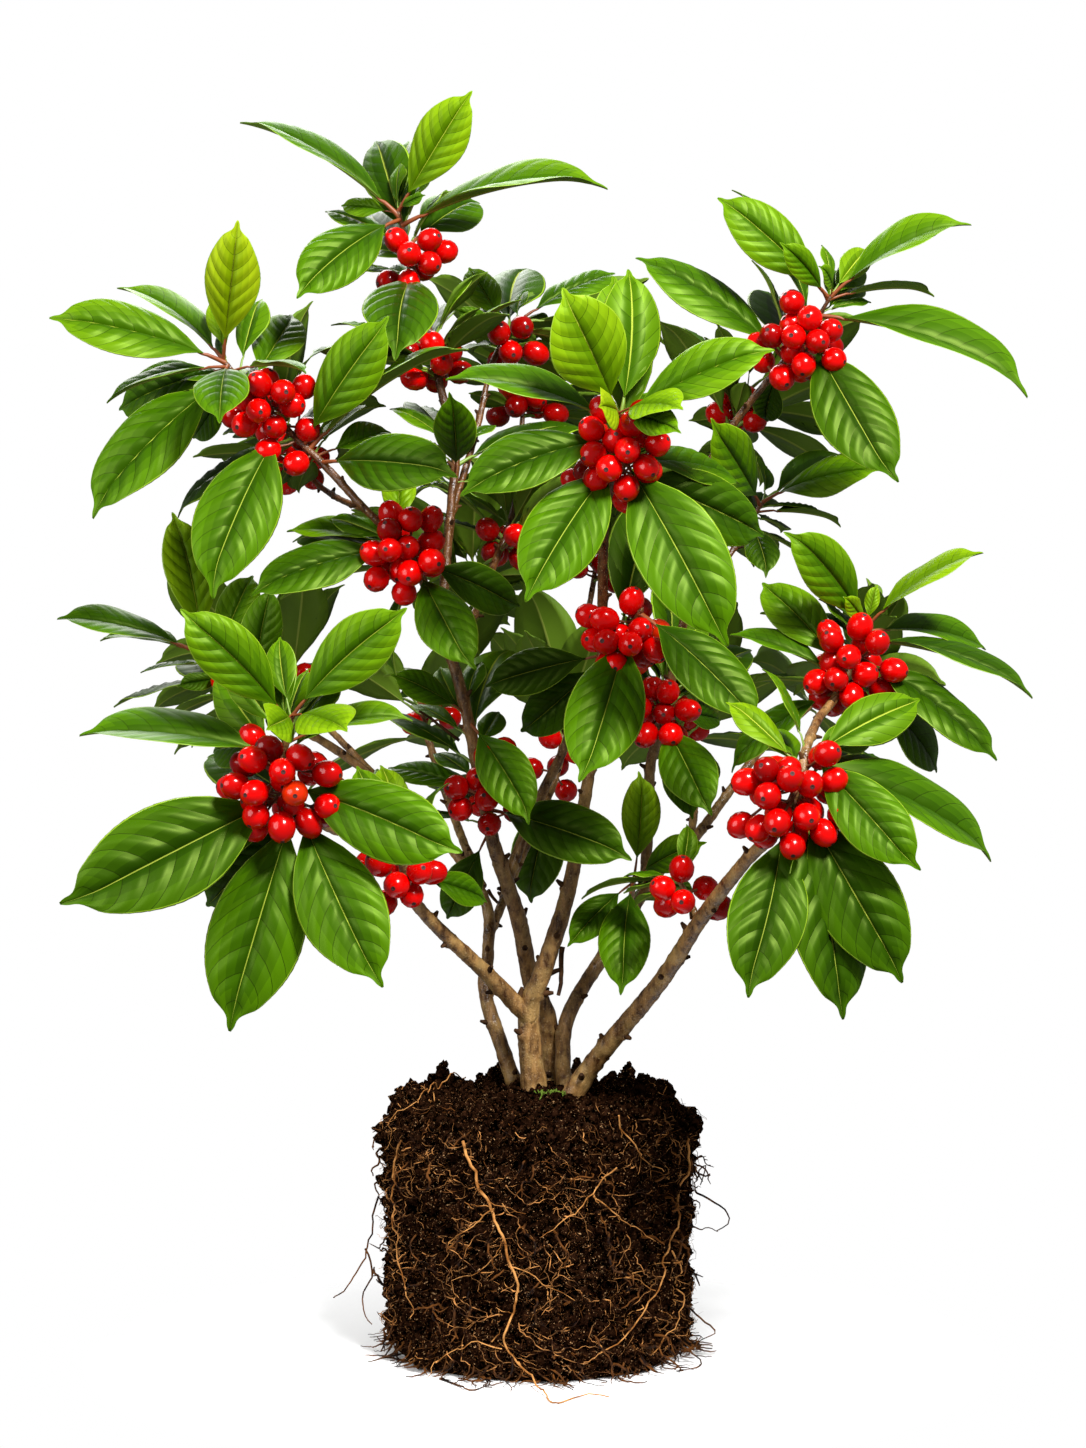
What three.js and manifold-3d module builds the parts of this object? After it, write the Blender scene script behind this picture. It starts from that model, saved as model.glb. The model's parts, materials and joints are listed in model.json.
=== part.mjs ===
// A many-stemmed berry bush standing on its bare root ball, in millimetres, with +Z up.
// The origin is on the flat underside of the root ball, and the bush is seen from the front, along +Y.

import * as THREE from "three";
import { mergeVertices } from "three/addons/utils/BufferGeometryUtils.js";
import Module from "manifold-3d";

const wasm = await Module();
wasm.setup();

// Driving dimensions

const clearance = 0.3; // gap that every piece keeps to the piece that carries it

const ball = {
  height: 121, // flat top round the stems, above the underside
  topRadius: 73,
  footRadius: 70,
  lump: 2.6, // how far the crumbs stand out
  sides: 29,
};

const stem = {
  limbSides: 6,
  twigSides: 4, // inside a mass of foliage
  footFlare: 1.12, // a stem's radius at the soil over its radius just above
};

const leafShape = {
  widthShare: 0.47, // blade width over blade length
  thickShare: 0.013, // thickness over length
  leastThick: 0.8,
  stalk: 11, // length of the leaf stalk
  stalkShare: 0.22, // a short leaf's stalk takes this much of its length
  stalkHalf: 1, // half the width of the blade where it leaves the stalk
  archShare: 0.07, // how far the blade bows up, over its length
  lean: 0.86, // under 1 the blade is widest before its middle
  fullness: 0.8, // under 1 the blade is fuller than a sine
  rings: [[0.3, 0.92], [0.66, 0.86]], // places along the blade, with the half width there
  rootShare: 0.3, // this much of a leaf may be near its own shoot and branch
  fineLength: 64, // a seen leaf that is longer shows its stalk
};

const berry = {
  radius: 6.1,
  nearest: 9.2, // from the middle of the stem to the middle of the berry
  furthest: 17,
  gathering: 1.5, // over 1 most berries sit near the stem
  apart: 12.5,
  stretch: [0.05, 0.77], // part of the shoot that bears berries
  drift: [-1.2, 2.8], // how far a berry sits down or up the stem from its foot
  tries: 60,
};

// The rings of a berry, as [height, radius] over its own radius, from its stalk upwards
const berryRings = [[-0.98, 0.16], [-0.42, 1.03], [0.5, 1]];

// Least distances to what is in place already
const keepOff = { leaf: 6, wood: 3, berry: 2.5, sibling: 3.5, soil: 24 };

// The same for a berry, by what it comes near. One below 0 lets it nestle in.
const berryKeepOff = {
  ownStalk: 0.4,
  otherStalk: 2,
  otherBerry: 3,
  ownWood: -3.5,
  otherWood: 1.5,
  ownLeaf: 1.2,
  otherLeaf: 2.5,
};

// Leaves that the rule adds to a shoot. They open wide at its foot and close in at its tip.
const grown = {
  shortest: 58,
  longest: 84,
  tries: 26,
  stretch: [0.08, 0.98], // part of the shoot that bears them
  goldenAngle: 2.39996, // turn from one leaf to the next
  angleSpread: 0.9,
  openAtFoot: 78, // degrees between the stem and a leaf
  closing: 38,
  openSpread: 12,
  droop: 0.16,
  turnSpread: 50,
  backward: 0.2, // a leaf behind seen ones points back by at least this share of its length
};

const crown = { back: 186, side: 232, low: 200 }; // how far grown leaves may reach

// The eye that the measured places are seen from. They are measured on the upright plane
// through the axis of the root ball, and seen() carries them along the line of sight.
const eye = { x: 2.4, z: 300, distance: 1300 };

function seen(x, z, depth) {
  const share = (eye.distance + depth) / eye.distance;
  return new THREE.Vector3(eye.x + (x - eye.x) * share, depth, eye.z + (z - eye.z) * share);
}

// Sky that shows between the shoots, as [left, right, bottom, top] on the measuring plane.
// Grown leaves stay out of it.
const skyWindows = [
  [-260, -170, 505, 640],
  [-260, -215, 366, 455],
  [-260, -178, 200, 290],
  [-75, -12, 160, 214],
  [-75, 80, 140, 206],
  [-18, 95, 522, 640],
  [60, 92, 500, 640],
  [168, 260, 392, 455],
  [185, 260, 500, 640],
  [205, 260, 180, 270],
  [12, 36, 258, 292],
  [-12, 8, 268, 300],
  [78, 96, 205, 235],
];

// Every branch: the branch it forks from, its route from foot to tip as
// [across, height, depth, radius], and its shoots. A shoot takes the stretch of the route
// between two of its points. Its seen leaves are [place along the stretch, then how far the
// tip lies to the right, up and forward of the leaf's foot, then the turn of the blade in
// degrees]. The rule adds the berries and the grown leaves.
const branches = [
  {
    name: "front_stem",
    route: [
      [-1.4, 121, -6, 6.4],
      [-4.3, 160.8, -8, 5.4],
      [2.4, 181.4, -11, 4.7],
      [14.9, 221.3, -14, 3.8],
      [24, 273.1, -22, 3],
      [29.8, 311.5, -29, 2.8],
      [31, 347, -38, 2.6],
      [31.2, 377.7, -54, 2.5],
      [32.7, 402.7, -75, 2.3],
      [39.4, 430.1, -98, 1.9],
      [38.4, 449.7, -112, 1.2],
    ],
    shoots: [
      {
        name: "centre_front_foliage",
        between: [8, 10],
        berries: 9,
        grown: 3,
        leaves: [
          [0.35, 72, -32, -34],
          [0.4, 59, -8, -44, 30],
          [0.45, -45, -68, 42],
          [0.5, 51, -92, 30],
          [0.65, -77, -26, 26, 15],
          [0.83, -83, 23, 8, 40],
          [0.92, 74, 35, 14, 20],
          [0.95, -29, 59, 38],
          [0.97, 30, -8, 30],
          [0.99, 5, 3, 34],
        ],
      },
    ],
  },
  {
    name: "left_fork",
    from: "front_stem",
    route: [
      [-3.5, 158, -8, 4.6],
      [-24, 179.5, -17, 3.9],
      [-47, 201.1, -36, 3.3],
      [-60.4, 216.9, -52, 2.8],
      [-68.1, 239.5, -66, 2.5],
      [-90.2, 246.7, -92, 2.3],
      [-107, 254, -106, 2.1],
      [-121.9, 272, -118, 1.8],
      [-118.5, 304.8, -128, 1.1],
    ],
    shoots: [
      {
        name: "low_left_foliage",
        between: [3, 4],
        berries: 4,
        grown: 2,
        leaves: [[0.45, 40, -12, -26, 20]],
      },
      {
        name: "lower_left_front_foliage",
        between: [6, 8],
        berries: 10,
        grown: 3,
        leaves: [
          [0.1, -50, -46, -30],
          [0.14, -72, -34, -18, 30],
          [0.25, 40, -88, 34],
          [0.27, -33, -109, 22],
          [0.38, -108, -55, 36],
          [0.48, 84, -34, 28],
          [0.7, -98, 12, 8, 45],
          [0.75, -36, 0, -40],
          [0.8, 60, 13, -6, 40],
          [0.93, -53, 54, 24],
          [0.97, 56, 52, 18],
          [0.99, 19, -5, 34],
        ],
      },
    ],
  },
  {
    name: "left_back_stem",
    route: [
      [-9.1, 121, 10, 4.2],
      [-24.9, 168.9, 16, 3.5],
      [-24, 190, 24, 3.1],
      [-25.5, 215, 34, 2.9],
      [-47, 246, 46, 2.6],
      [-90.2, 283, 42, 2.3],
      [-132.4, 308.6, 26, 2],
      [-164.6, 335.5, 10, 1.2],
    ],
    shoots: [
      {
        name: "left_foliage",
        between: [6, 7],
        berries: 2,
        grown: 3,
        leaves: [
          [0.1, 8, 55, 6],
          [0.5, -24, -3, 18],
          [0.7, 18, 45, -26],
          [0.9, -14, 69, -4, 30],
          [0.93, -49, 8, -22, 50],
          [0.97, -67, 17, 12, 45],
        ],
      },
    ],
  },
  {
    name: "centre_stem",
    route: [
      [7.2, 121, 17, 5.2],
      [4.8, 157.9, 12, 4.7],
      [-2.8, 174.2, 9, 4.4],
      [-9.1, 205.4, 3, 4.1],
      [-17.7, 231.3, -6, 3.8],
      [-22, 245.3, -12, 3.5],
      [-27.3, 270.7, -18, 3.2],
      [-34.5, 306, -19, 3],
      [-40, 327, -18, 2.8],
      [-45.6, 345, -16, 2.7],
      [-44.2, 376, -11, 2.5],
      [-41.5, 408, -6, 2.3],
      [-39.8, 431.5, 0, 2.2],
      [-47, 462.7, 4, 2.1],
      [-51.3, 484.3, 6, 1.9],
      [-56.6, 503.5, 6, 1.8],
      [-60.9, 521.7, 2, 1.6],
      [-67.6, 547.7, -4, 1],
    ],
    shoots: [
      {
        name: "low_centre_foliage",
        between: [5, 7],
        berries: 5,
        grown: 3,
        leaves: [
          [0.1, -21, -44, -22],
          [0.3, 70, -23, 34, 10],
          [0.4, -46, 14, -18, 30],
          [0.93, 31, -48, 36],
          [0.97, -36, 20, 16],
        ],
      },
      {
        name: "upper_middle_low_foliage",
        between: [11, 12],
        grown: 3,
        leaves: [[0.5, -2, 39, 44]],
      },
      {
        name: "upper_middle_foliage",
        between: [13, 14],
        berries: 5,
        grown: 4,
        allRound: true,
      },
      {
        name: "top_foliage",
        between: [15, 17],
        berries: 5,
        grown: 3,
        leaves: [
          [0.35, -8, -38, 74],
          [0.65, 34, 23, -54],
          [0.85, 98, 22, 8, 50],
          [0.9, -50, -37, 44],
          [0.93, -75, 46, -6, 50],
          [0.95, -28, 4, -12],
          [0.97, 35, 58, 24],
          [0.99, 13, 7, 12],
        ],
      },
    ],
  },
  {
    name: "left_bough",
    from: "centre_stem",
    route: [
      [-44.6, 341, -17, 2.5],
      [-51.8, 359.5, -32, 2.3],
      [-57.6, 373.9, -42, 2.2],
      [-68.1, 388.3, -50, 2],
      [-84.4, 404.6, -52, 1.9],
      [-102.2, 423.8, -48, 1.8],
      [-128.6, 449.7, -42, 1.5],
      [-151.2, 474.7, -38, 1],
    ],
    shoots: [
      {
        name: "left_middle_foliage",
        between: [2, 3],
        berries: 7,
        grown: 3,
        leaves: [
          [0.1, 26, -49, 42],
          [0.15, -11, -52, 12, 60],
          [0.3, 52, -23, -28],
          [0.7, -74, -21, 22, 20],
          [0.75, -56, 8, -18, 40],
          [0.9, 0, 38, -24],
        ],
      },
      {
        name: "upper_left_foliage",
        between: [5, 7],
        berries: 8,
        grown: 3,
        leaves: [
          [0.04, 65, -4, 46],
          [0.1, 36, 13, -34],
          [0.16, 75, 51, 4, 65],
          [0.2, 41, 61, 28],
          [0.33, -13, -50, -34, 50],
          [0.38, -37, -81, 38],
          [0.72, 22, 36, -46],
          [0.83, -22, -30, -32],
          [0.88, -70, -68, 14, 15],
          [0.9, 36, 0, 30, 60],
          [0.92, -54, -20, -38],
          [0.94, -59, -16, 2, 50],
          [0.95, -4, -26, 60],
          [0.97, -51, 37, -30, 50],
          [0.98, -84, 22, 22, 20],
          [0.99, -4, 31, -14],
          [1, 7, 67, 28],
        ],
      },
    ],
  },
  {
    name: "top_middle_bough",
    from: "centre_stem",
    route: [
      [-43, 396, -7, 1.9],
      [-29.5, 441.1, 22, 1.7],
      [-21.6, 474.2, 36, 1.5],
      [-8.6, 494.9, 40, 0.9],
    ],
    shoots: [
      {
        name: "top_middle_foliage",
        between: [2, 3],
        berries: 3,
        grown: 3,
        leaves: [
          [0.5, -24, 14, 18],
          [0.55, -19, 33, -22],
          [0.93, 47, 23, -24, 30],
        ],
      },
    ],
  },
  {
    name: "middle_bough",
    from: "centre_stem",
    route: [
      [-15.2, 224, -3, 3],
      [-8, 243, 6, 2.7],
      [2, 266.9, 4, 2.5],
      [12, 287, -2, 2.3],
      [26, 321.1, -15, 2],
      [34, 333.1, -26, 1.9],
      [50.5, 355.7, -58, 1.1],
    ],
    shoots: [
      {
        name: "middle_foliage",
        between: [5, 6],
        berries: 7,
        grown: 2,
        leaves: [
          [0.02, -43, -38, -30],
          [0.02, -60, -15, -10],
          [0.6, -22, -74, 50],
          [0.9, 57, -53, 34, 15],
        ],
      },
    ],
  },
  {
    name: "right_back_stem",
    route: [
      [12.5, 121, 5, 4.2],
      [13.5, 156.5, 8, 3.9],
      [32.2, 190.1, 18, 3.5],
      [58.6, 229.9, 34, 3],
      [74.4, 244.3, 48, 2.7],
      [90.3, 265.4, 66, 2.4],
      [106.6, 287, 84, 2.1],
      [125.8, 304.3, 98, 1.9],
      [157, 331, 106, 1],
    ],
    shoots: [
      { name: "right_back_foliage", between: [7, 8], berries: 3, grown: 8, allRound: true },
    ],
  },
  {
    name: "low_right_twig",
    from: "right_back_stem",
    route: [
      [43.2, 207, 20, 1.7],
      [45, 217, 8, 1.5],
      [46.1, 227, -10, 1],
    ],
    shoots: [
      {
        name: "low_right_foliage",
        between: [0, 2],
        leaves: [
          [0.8, 30, -2, 10, 20],
          [0.85, -31, -30, 24],
          [0.9, 4, 52, 6],
          [0.92, 34, 18, 30],
          [0.96, -5, -55, 40],
        ],
      },
    ],
  },
  {
    name: "right_stem",
    route: [
      [15.9, 121, -10, 5.6],
      [28.4, 139.5, -16, 4.8],
      [58.6, 176.1, -42, 4.1],
      [78.3, 206.4, -70, 3.6],
      [99.4, 233.7, -98, 3.1],
      [113.8, 248.1, -112, 2.8],
      [125.8, 270.7, -118, 2.5],
      [128.7, 287.5, -112, 2.3],
      [134.4, 301.9, -95, 2.1],
      [142.6, 312.5, -78, 2],
      [149.8, 326.9, -62, 1.7],
      [157.5, 347, -52, 1],
    ],
    shoots: [
      {
        name: "lower_right_front_foliage",
        between: [5, 7],
        berries: 10,
        grown: 2,
        leaves: [
          [0.15, -19, -85, 38],
          [0.35, 23, -106, 18, 20],
          [0.4, 52, -90, 18],
          [0.45, 26, -58, -28],
          [0.9, 91, -47, -22, 40],
          [0.98, 53, -57, 34],
        ],
      },
      {
        name: "right_foliage",
        between: [9, 11],
        berries: 7,
        grown: 2,
        leaves: [
          [0.15, -54, -37, -18, 35],
          [0.33, -55, 22, -12, 45],
          [0.38, -42, 45, -24],
          [0.45, 44, -49, -30, 30],
          [0.65, 68, -50, 22, 35],
          [0.85, 83, -26, 8, 55],
          [0.93, 60, -8, -28, 40],
          [0.97, -36, 47, 34],
          [0.98, 56, 37, 14, 50],
          [0.99, -10, 15, 20],
          [1, 5, 20, -2],
        ],
      },
    ],
  },
  {
    name: "right_stem_twig",
    from: "right_stem",
    route: [
      [76, 208, -68, 1.6],
      [71, 219, -60, 1.4],
      [66, 227, -54, 0.9],
    ],
    shoots: [{ name: "low_right_berries", between: [0, 2], berries: 5 }],
  },
  {
    name: "upper_right_bough",
    from: "right_back_stem",
    route: [
      [51, 218, 30, 2.9],
      [52.8, 249.1, 30, 2.8],
      [53.8, 277.9, 22, 2.7],
      [57.6, 294.7, 16, 2.6],
      [62.9, 316.3, 8, 2.4],
      [69, 345, 4, 2.2],
      [73.4, 366, 1, 2.1],
      [75.4, 404, -4, 2],
      [86, 432, -9, 1.9],
      [110.4, 465.1, -17, 1.7],
      [125.8, 481.9, -20, 1.5],
      [141.2, 506.4, -24, 0.9],
    ],
    shoots: [
      {
        name: "right_middle_foliage",
        between: [3, 4],
        berries: 5,
        grown: 3,
        leaves: [
          [0.02, 18, -40, 10],
          [0.4, 23, -46, 48],
          [0.55, 28, -4, -26],
        ],
      },
      {
        name: "upper_right_foliage",
        between: [9, 11],
        berries: 9,
        grown: 2,
        leaves: [
          [0.2, -8, -28, -36],
          [0.27, -72, 50, -6, 30],
          [0.44, 29, -48, -26, 50],
          [0.62, 41, -71, 38],
          [0.8, 102, -34, 14, 40],
          [0.93, -22, 28, 24],
          [0.95, 50, 4, -16, 65],
          [0.96, -53, 49, 8],
          [0.98, 66, 37, 8, 40],
          [1, -5, 14, 24],
        ],
      },
    ],
  },
  {
    name: "right_side_bough",
    from: "upper_right_bough",
    route: [
      [71.5, 357, 2, 1.8],
      [88.4, 376, 14, 1.5],
      [99.4, 393.1, 20, 1.4],
      [108.5, 407.5, 22, 0.9],
    ],
    shoots: [
      {
        name: "upper_right_low_foliage",
        between: [2, 3],
        grown: 3,
        leaves: [
          [0.2, 9, -24, 38],
          [0.6, 41, -5, -18, 60],
          [0.8, -24, 40, 52],
          [0.95, 57, 16, 34, 20],
        ],
      },
    ],
  },
  {
    name: "back_left_bough",
    from: "left_back_stem",
    route: [
      [-27, 222, 37, 2.4],
      [-39.8, 254, 70, 2.2],
      [-51.8, 290, 98, 2],
      [-56.6, 314, 112, 1.8],
      [-47, 335.5, 125, 1.7],
      [-39.8, 350, 132, 1.5],
      [-27.8, 378.7, 140, 0.9],
    ],
    shoots: [
      { name: "back_lower_left_foliage", between: [2, 3], berries: 2, grown: 6, allRound: true },
      { name: "back_middle_left_foliage", between: [5, 6], berries: 3, grown: 9, allRound: true },
    ],
  },
  {
    name: "back_centre_bough",
    from: "left_back_stem",
    route: [
      [-24, 197, 27, 2.5],
      [-8.6, 234.7, 62, 2.3],
      [8.2, 274, 98, 2.1],
      [13, 300, 114, 1.9],
      [20.2, 338, 122, 1.8],
      [26, 364.3, 125, 1.6],
      [29.8, 393.1, 128, 0.9],
    ],
    shoots: [
      {
        name: "back_low_centre_foliage",
        between: [2, 3],
        berries: 3,
        grown: 7,
        allRound: true,
        leaves: [[0.05, -14, -62, -16]],
      },
      { name: "back_centre_foliage", between: [5, 6], berries: 3, grown: 9, allRound: true },
    ],
  },
  {
    name: "back_right_bough",
    from: "right_back_stem",
    route: [
      [73, 243, 46, 2.2],
      [75, 264, 80, 2],
      [69, 287.5, 106, 1.9],
      [59, 322, 124, 0.9],
    ],
    shoots: [
      { name: "back_lower_right_foliage", between: [2, 3], berries: 3, grown: 8, allRound: true },
    ],
  },
  {
    name: "back_top_bough",
    from: "centre_stem",
    route: [
      [-42, 334, -17, 2.1],
      [-29, 356, 14, 2],
      [-20.6, 378, 45, 1.9],
      [-12.4, 400.3, 62, 1.7],
      [-8.6, 426.7, 78, 1.6],
      [-7.6, 445.9, 88, 1.4],
      [-6.2, 470, 92, 0.9],
    ],
    shoots: [
      { name: "back_upper_middle_foliage", between: [2, 3], berries: 4, grown: 5, allRound: true },
      { name: "back_top_foliage", between: [5, 6], berries: 3, grown: 8, allRound: true },
    ],
  },
  {
    name: "back_upper_right_bough",
    from: "upper_right_bough",
    route: [
      [74.9, 393.1, -3, 1.8],
      [82, 417.1, 32, 1.7],
      [92, 438.7, 60, 1.5],
      [101, 462.7, 72, 0.9],
    ],
    shoots: [
      { name: "back_upper_right_foliage", between: [2, 3], berries: 3, grown: 8, allRound: true },
    ],
  },
  {
    name: "back_left_side_bough",
    from: "left_back_stem",
    route: [
      [-68.6, 265, 45, 2],
      [-95, 292.3, 72, 1.8],
      [-114.2, 311.5, 90, 1.7],
      [-135.8, 335.5, 98, 0.9],
    ],
    shoots: [
      { name: "back_left_foliage", between: [2, 3], berries: 3, grown: 8, allRound: true },
    ],
  },
  {
    name: "back_upper_left_bough",
    from: "left_bough",
    route: [
      [-83, 403, -52, 1.6],
      [-97, 409, -14, 1.5],
      [-109.4, 419, 24, 1.4],
      [-124, 441, 44, 0.9],
    ],
    shoots: [
      { name: "back_upper_left_foliage", between: [2, 3], berries: 3, grown: 8, allRound: true },
    ],
  },
];

// Repeatable random numbers from 0 to 1

function randomFrom(seed) {
  const multiplier = 48271;
  const modulus = 2147483647;
  let state = (seed * 7919 + 17) % modulus;
  return function next() {
    state = (state * multiplier) % modulus;
    return state / modulus;
  };
}

// Closed skins and solids

// Joins rings that follow each other by faces. A ring of one point is an end point, and the
// first and the last ring are closed flat.
function skin(rings) {
  const points = rings.flat();
  const faces = [];
  let start = 0;
  for (let i = 0; i < rings.length - 1; i += 1) {
    const here = rings[i].length;
    const next = rings[i + 1].length;
    const nextStart = start + here;
    const count = Math.max(here, next);
    for (let k = 0; k < count; k += 1) {
      const a = start + (k % here);
      const b = start + ((k + 1) % here);
      const c = nextStart + (k % next);
      const d = nextStart + ((k + 1) % next);
      if (here > 1) faces.push([a, b, c]);
      if (next > 1) faces.push(here > 1 ? [b, d, c] : [a, d, c]);
    }
    start = nextStart;
  }
  const lastStart = start;
  for (let k = 1; k < rings[0].length - 1; k += 1) faces.push([0, k + 1, k]);
  for (let k = 1; k < rings.at(-1).length - 1; k += 1) {
    faces.push([lastStart, lastStart + k, lastStart + k + 1]);
  }
  return solidOf(points, faces);
}

// A solid from points and faces that all wind the same way round
function solidOf(points, faces) {
  const corner = new THREE.Vector3();
  let volume = 0;
  for (const [a, b, c] of faces) {
    volume += corner.crossVectors(points[a], points[b]).dot(points[c]);
  }
  const wound = volume > 0 ? faces : faces.map(([a, b, c]) => [a, c, b]);
  const mesh = new wasm.Mesh({
    numProp: 3,
    vertProperties: new Float32Array(points.flatMap((point) => point.toArray())),
    triVerts: new Uint32Array(wound.flat()),
  });
  return new wasm.Manifold(mesh);
}

// A round of points across a line, at a radius from its centre
function ringOf(centre, direction, radius, sides) {
  const reference = new THREE.Vector3(0, 1, 0);
  const across = new THREE.Vector3().crossVectors(direction, reference).normalize();
  const along = new THREE.Vector3().crossVectors(across, direction).normalize();
  return Array.from({ length: sides }, (_, k) => {
    const angle = (2 * Math.PI * k) / sides;
    return centre
      .clone()
      .addScaledVector(across, radius * Math.cos(angle))
      .addScaledVector(along, radius * Math.sin(angle));
  });
}

// Branches

const directionStep = 0.05;

// The smooth line of a branch. Its places are numbered like the points of its route.
class Line {
  constructor(route) {
    this.route = route;
    const points = route.map(([x, z, depth]) => seen(x, z, depth));
    this.curve = new THREE.CatmullRomCurve3(points, false, "catmullrom", 0.5);
    this.last = route.length - 1;
  }

  point(place) {
    return this.curve.getPoint(place / this.last);
  }

  direction(place) {
    const before = this.point(Math.max(place - directionStep, 0));
    const after = this.point(Math.min(place + directionStep, this.last));
    return after.sub(before).normalize();
  }

  radius(place) {
    const index = Math.min(Math.floor(place), this.last - 1);
    const share = place - index;
    return this.route[index][3] * (1 - share) + this.route[index + 1][3] * share;
  }
}

// A tapering limb between two places of its line, with flat ends
function limbSolid(line, first, final, { sides, grow = 0, foot = false }) {
  const up = new THREE.Vector3(0, 0, 1);
  const steps = Math.max(2, Math.round((final - first) * 2));
  const rings = [];
  for (let i = 0; i <= steps; i += 1) {
    const place = first + ((final - first) * i) / steps;
    const direction = line.direction(place);
    const centre = line.point(place);
    const radius = line.radius(place) + grow;
    if (foot && i === 0) {
      centre.z = ball.height + clearance - grow;
      rings.push(ringOf(centre, up, radius * stem.footFlare, sides));
      continue;
    }
    if (i === 0 && first > 0) centre.addScaledVector(direction, clearance / 2 - grow);
    if (i === steps && final < line.last) centre.addScaledVector(direction, grow - clearance / 2);
    rings.push(ringOf(centre, direction, radius, sides));
  }
  return skin(rings);
}

// Leaves

// The frame of a leaf from its foot to its tip, with its upper side turned to a facing
function leafAt(foot, tip, facing, turn = 0) {
  const chord = new THREE.Vector3().subVectors(tip, foot);
  const length = chord.length();
  const direction = chord.clone().normalize();
  const normal = facing.clone().addScaledVector(direction, -facing.dot(direction)).normalize();
  normal.applyAxisAngle(direction, THREE.MathUtils.degToRad(turn));
  const side = new THREE.Vector3().crossVectors(direction, normal);
  const stalk = Math.min(leafShape.stalk, length * leafShape.stalkShare);
  const width = (length - stalk) * leafShape.widthShare;
  return { foot, chord, normal, side, length, stalk, width };
}

// A place on a leaf: share of the length, share of the half width, and height over the blade
function onLeaf(leaf, share, across, height = 0) {
  const arch = leafShape.archShare * leaf.length * 4 * share * (1 - share);
  const out = (across * leaf.width) / 2;
  return leaf.foot
    .clone()
    .addScaledVector(leaf.chord, share)
    .addScaledVector(leaf.normal, arch + height)
    .addScaledVector(leaf.side, out);
}

// Half width of the blade over its widest half width, at a share of the blade's length
function bladeShare(share) {
  const { lean, fullness } = leafShape;
  return Math.sin(Math.PI * Math.min(Math.max(share, 0), 1) ** lean) ** fullness;
}

const probeStep = 5;

// Points spread over a leaf, by which it keeps off what is already in place
function leafProbes(leaf) {
  const start = leaf.stalk / leaf.length;
  const rows = Math.ceil(leaf.length / probeStep);
  const probes = [];
  for (let row = 1; row <= rows; row += 1) {
    const share = row / rows;
    const half = bladeShare((share - start) / (1 - start));
    const columns = Math.ceil((half * leaf.width) / 2 / probeStep);
    for (let column = -columns; column <= columns; column += 1) {
      const across = columns > 0 ? (half * column) / columns : 0;
      probes.push({ place: onLeaf(leaf, share, across), share });
    }
  }
  return probes;
}

// The solid of a leaf: a point in the stem, its stalk, the blade, and the tip
function leafSolid(leaf, fine) {
  const start = leaf.stalk / leaf.length;
  const thick = Math.max(leaf.length * leafShape.thickShare, leafShape.leastThick);
  const ringAt = (share, across) => {
    return [
      onLeaf(leaf, share, -across),
      onLeaf(leaf, share, across),
      onLeaf(leaf, share, 0, -thick),
    ];
  };
  const blade = (share) => start + (1 - start) * share;
  const rings = [[leaf.foot]];
  if (fine) rings.push(ringAt(start, (2 * leafShape.stalkHalf) / leaf.width));
  leafShape.rings.forEach(([share, half]) => rings.push(ringAt(blade(share), half)));
  rings.push([onLeaf(leaf, 1, 0)]);
  return skin(rings);
}

// What is already in place, as points with a reach of their own, found through a grid

const grid = new Map();
const cell = 12;

function cellOf(value) {
  return Math.floor(value / cell);
}

function occupy(place, reach, owner, kind) {
  const key = `${cellOf(place.x)},${cellOf(place.y)},${cellOf(place.z)}`;
  if (!grid.has(key)) grid.set(key, []);
  grid.get(key).push({ place, reach, owner, kind });
}

// Whether a place is too close to anything, by a least distance that depends on what is there
function isNear(place, extra, least) {
  const [i, j, k] = [cellOf(place.x), cellOf(place.y), cellOf(place.z)];
  for (let a = i - 1; a <= i + 1; a += 1) {
    for (let b = j - 1; b <= j + 1; b += 1) {
      for (let c = k - 1; c <= k + 1; c += 1) {
        for (const other of grid.get(`${a},${b},${c}`) ?? []) {
          const distance = least(other);
          if (distance === null) continue;
          if (place.distanceTo(other.place) < other.reach + extra + distance) return true;
        }
      }
    }
  }
  return false;
}

// Whether a place on the measuring plane lies in a sky window
function showsSky(place) {
  const share = eye.distance / (eye.distance + place.y);
  const x = eye.x + (place.x - eye.x) * share;
  const z = eye.z + (place.z - eye.z) * share;
  return skyWindows.some(([left, right, low, high]) => {
    return x > left && x < right && z > low && z < high;
  });
}

function leafFits(leaf, owner, ownWood, isGrown) {
  const { rootShare } = leafShape;
  return leafProbes(leaf).every(({ place, share }) => {
    if (place.z < ball.height + keepOff.soil) return false;
    if (isGrown && (showsSky(place) || place.z < crown.low)) return false;
    if (isGrown && (place.y > crown.back || Math.abs(place.x) > crown.side)) return false;
    return !isNear(place, 0, (other) => {
      if (other.kind === "wood") {
        return share < rootShare && ownWood.includes(other.owner) ? null : keepOff.wood;
      }
      if (other.owner !== owner) return keepOff.leaf;
      if (share < rootShare || !isGrown) return null;
      return other.kind === "berry" ? keepOff.berry : keepOff.sibling;
    });
  });
}

function placeLeaf(leaf, owner) {
  leafProbes(leaf).forEach(({ place, share }) => {
    occupy(place, 0, owner, share < leafShape.rootShare ? "stalk" : "leaf");
  });
}

// Shoots

// The upper side of a seen leaf faces the eye and a little upwards
const toViewer = new THREE.Vector3(0, -0.95, 0.3);

// A grown leaf faces upwards, and outwards by this much for each millimetre from the axis
const outward = { across: 0.004, depth: 0.006, up: 0.8 };

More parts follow.
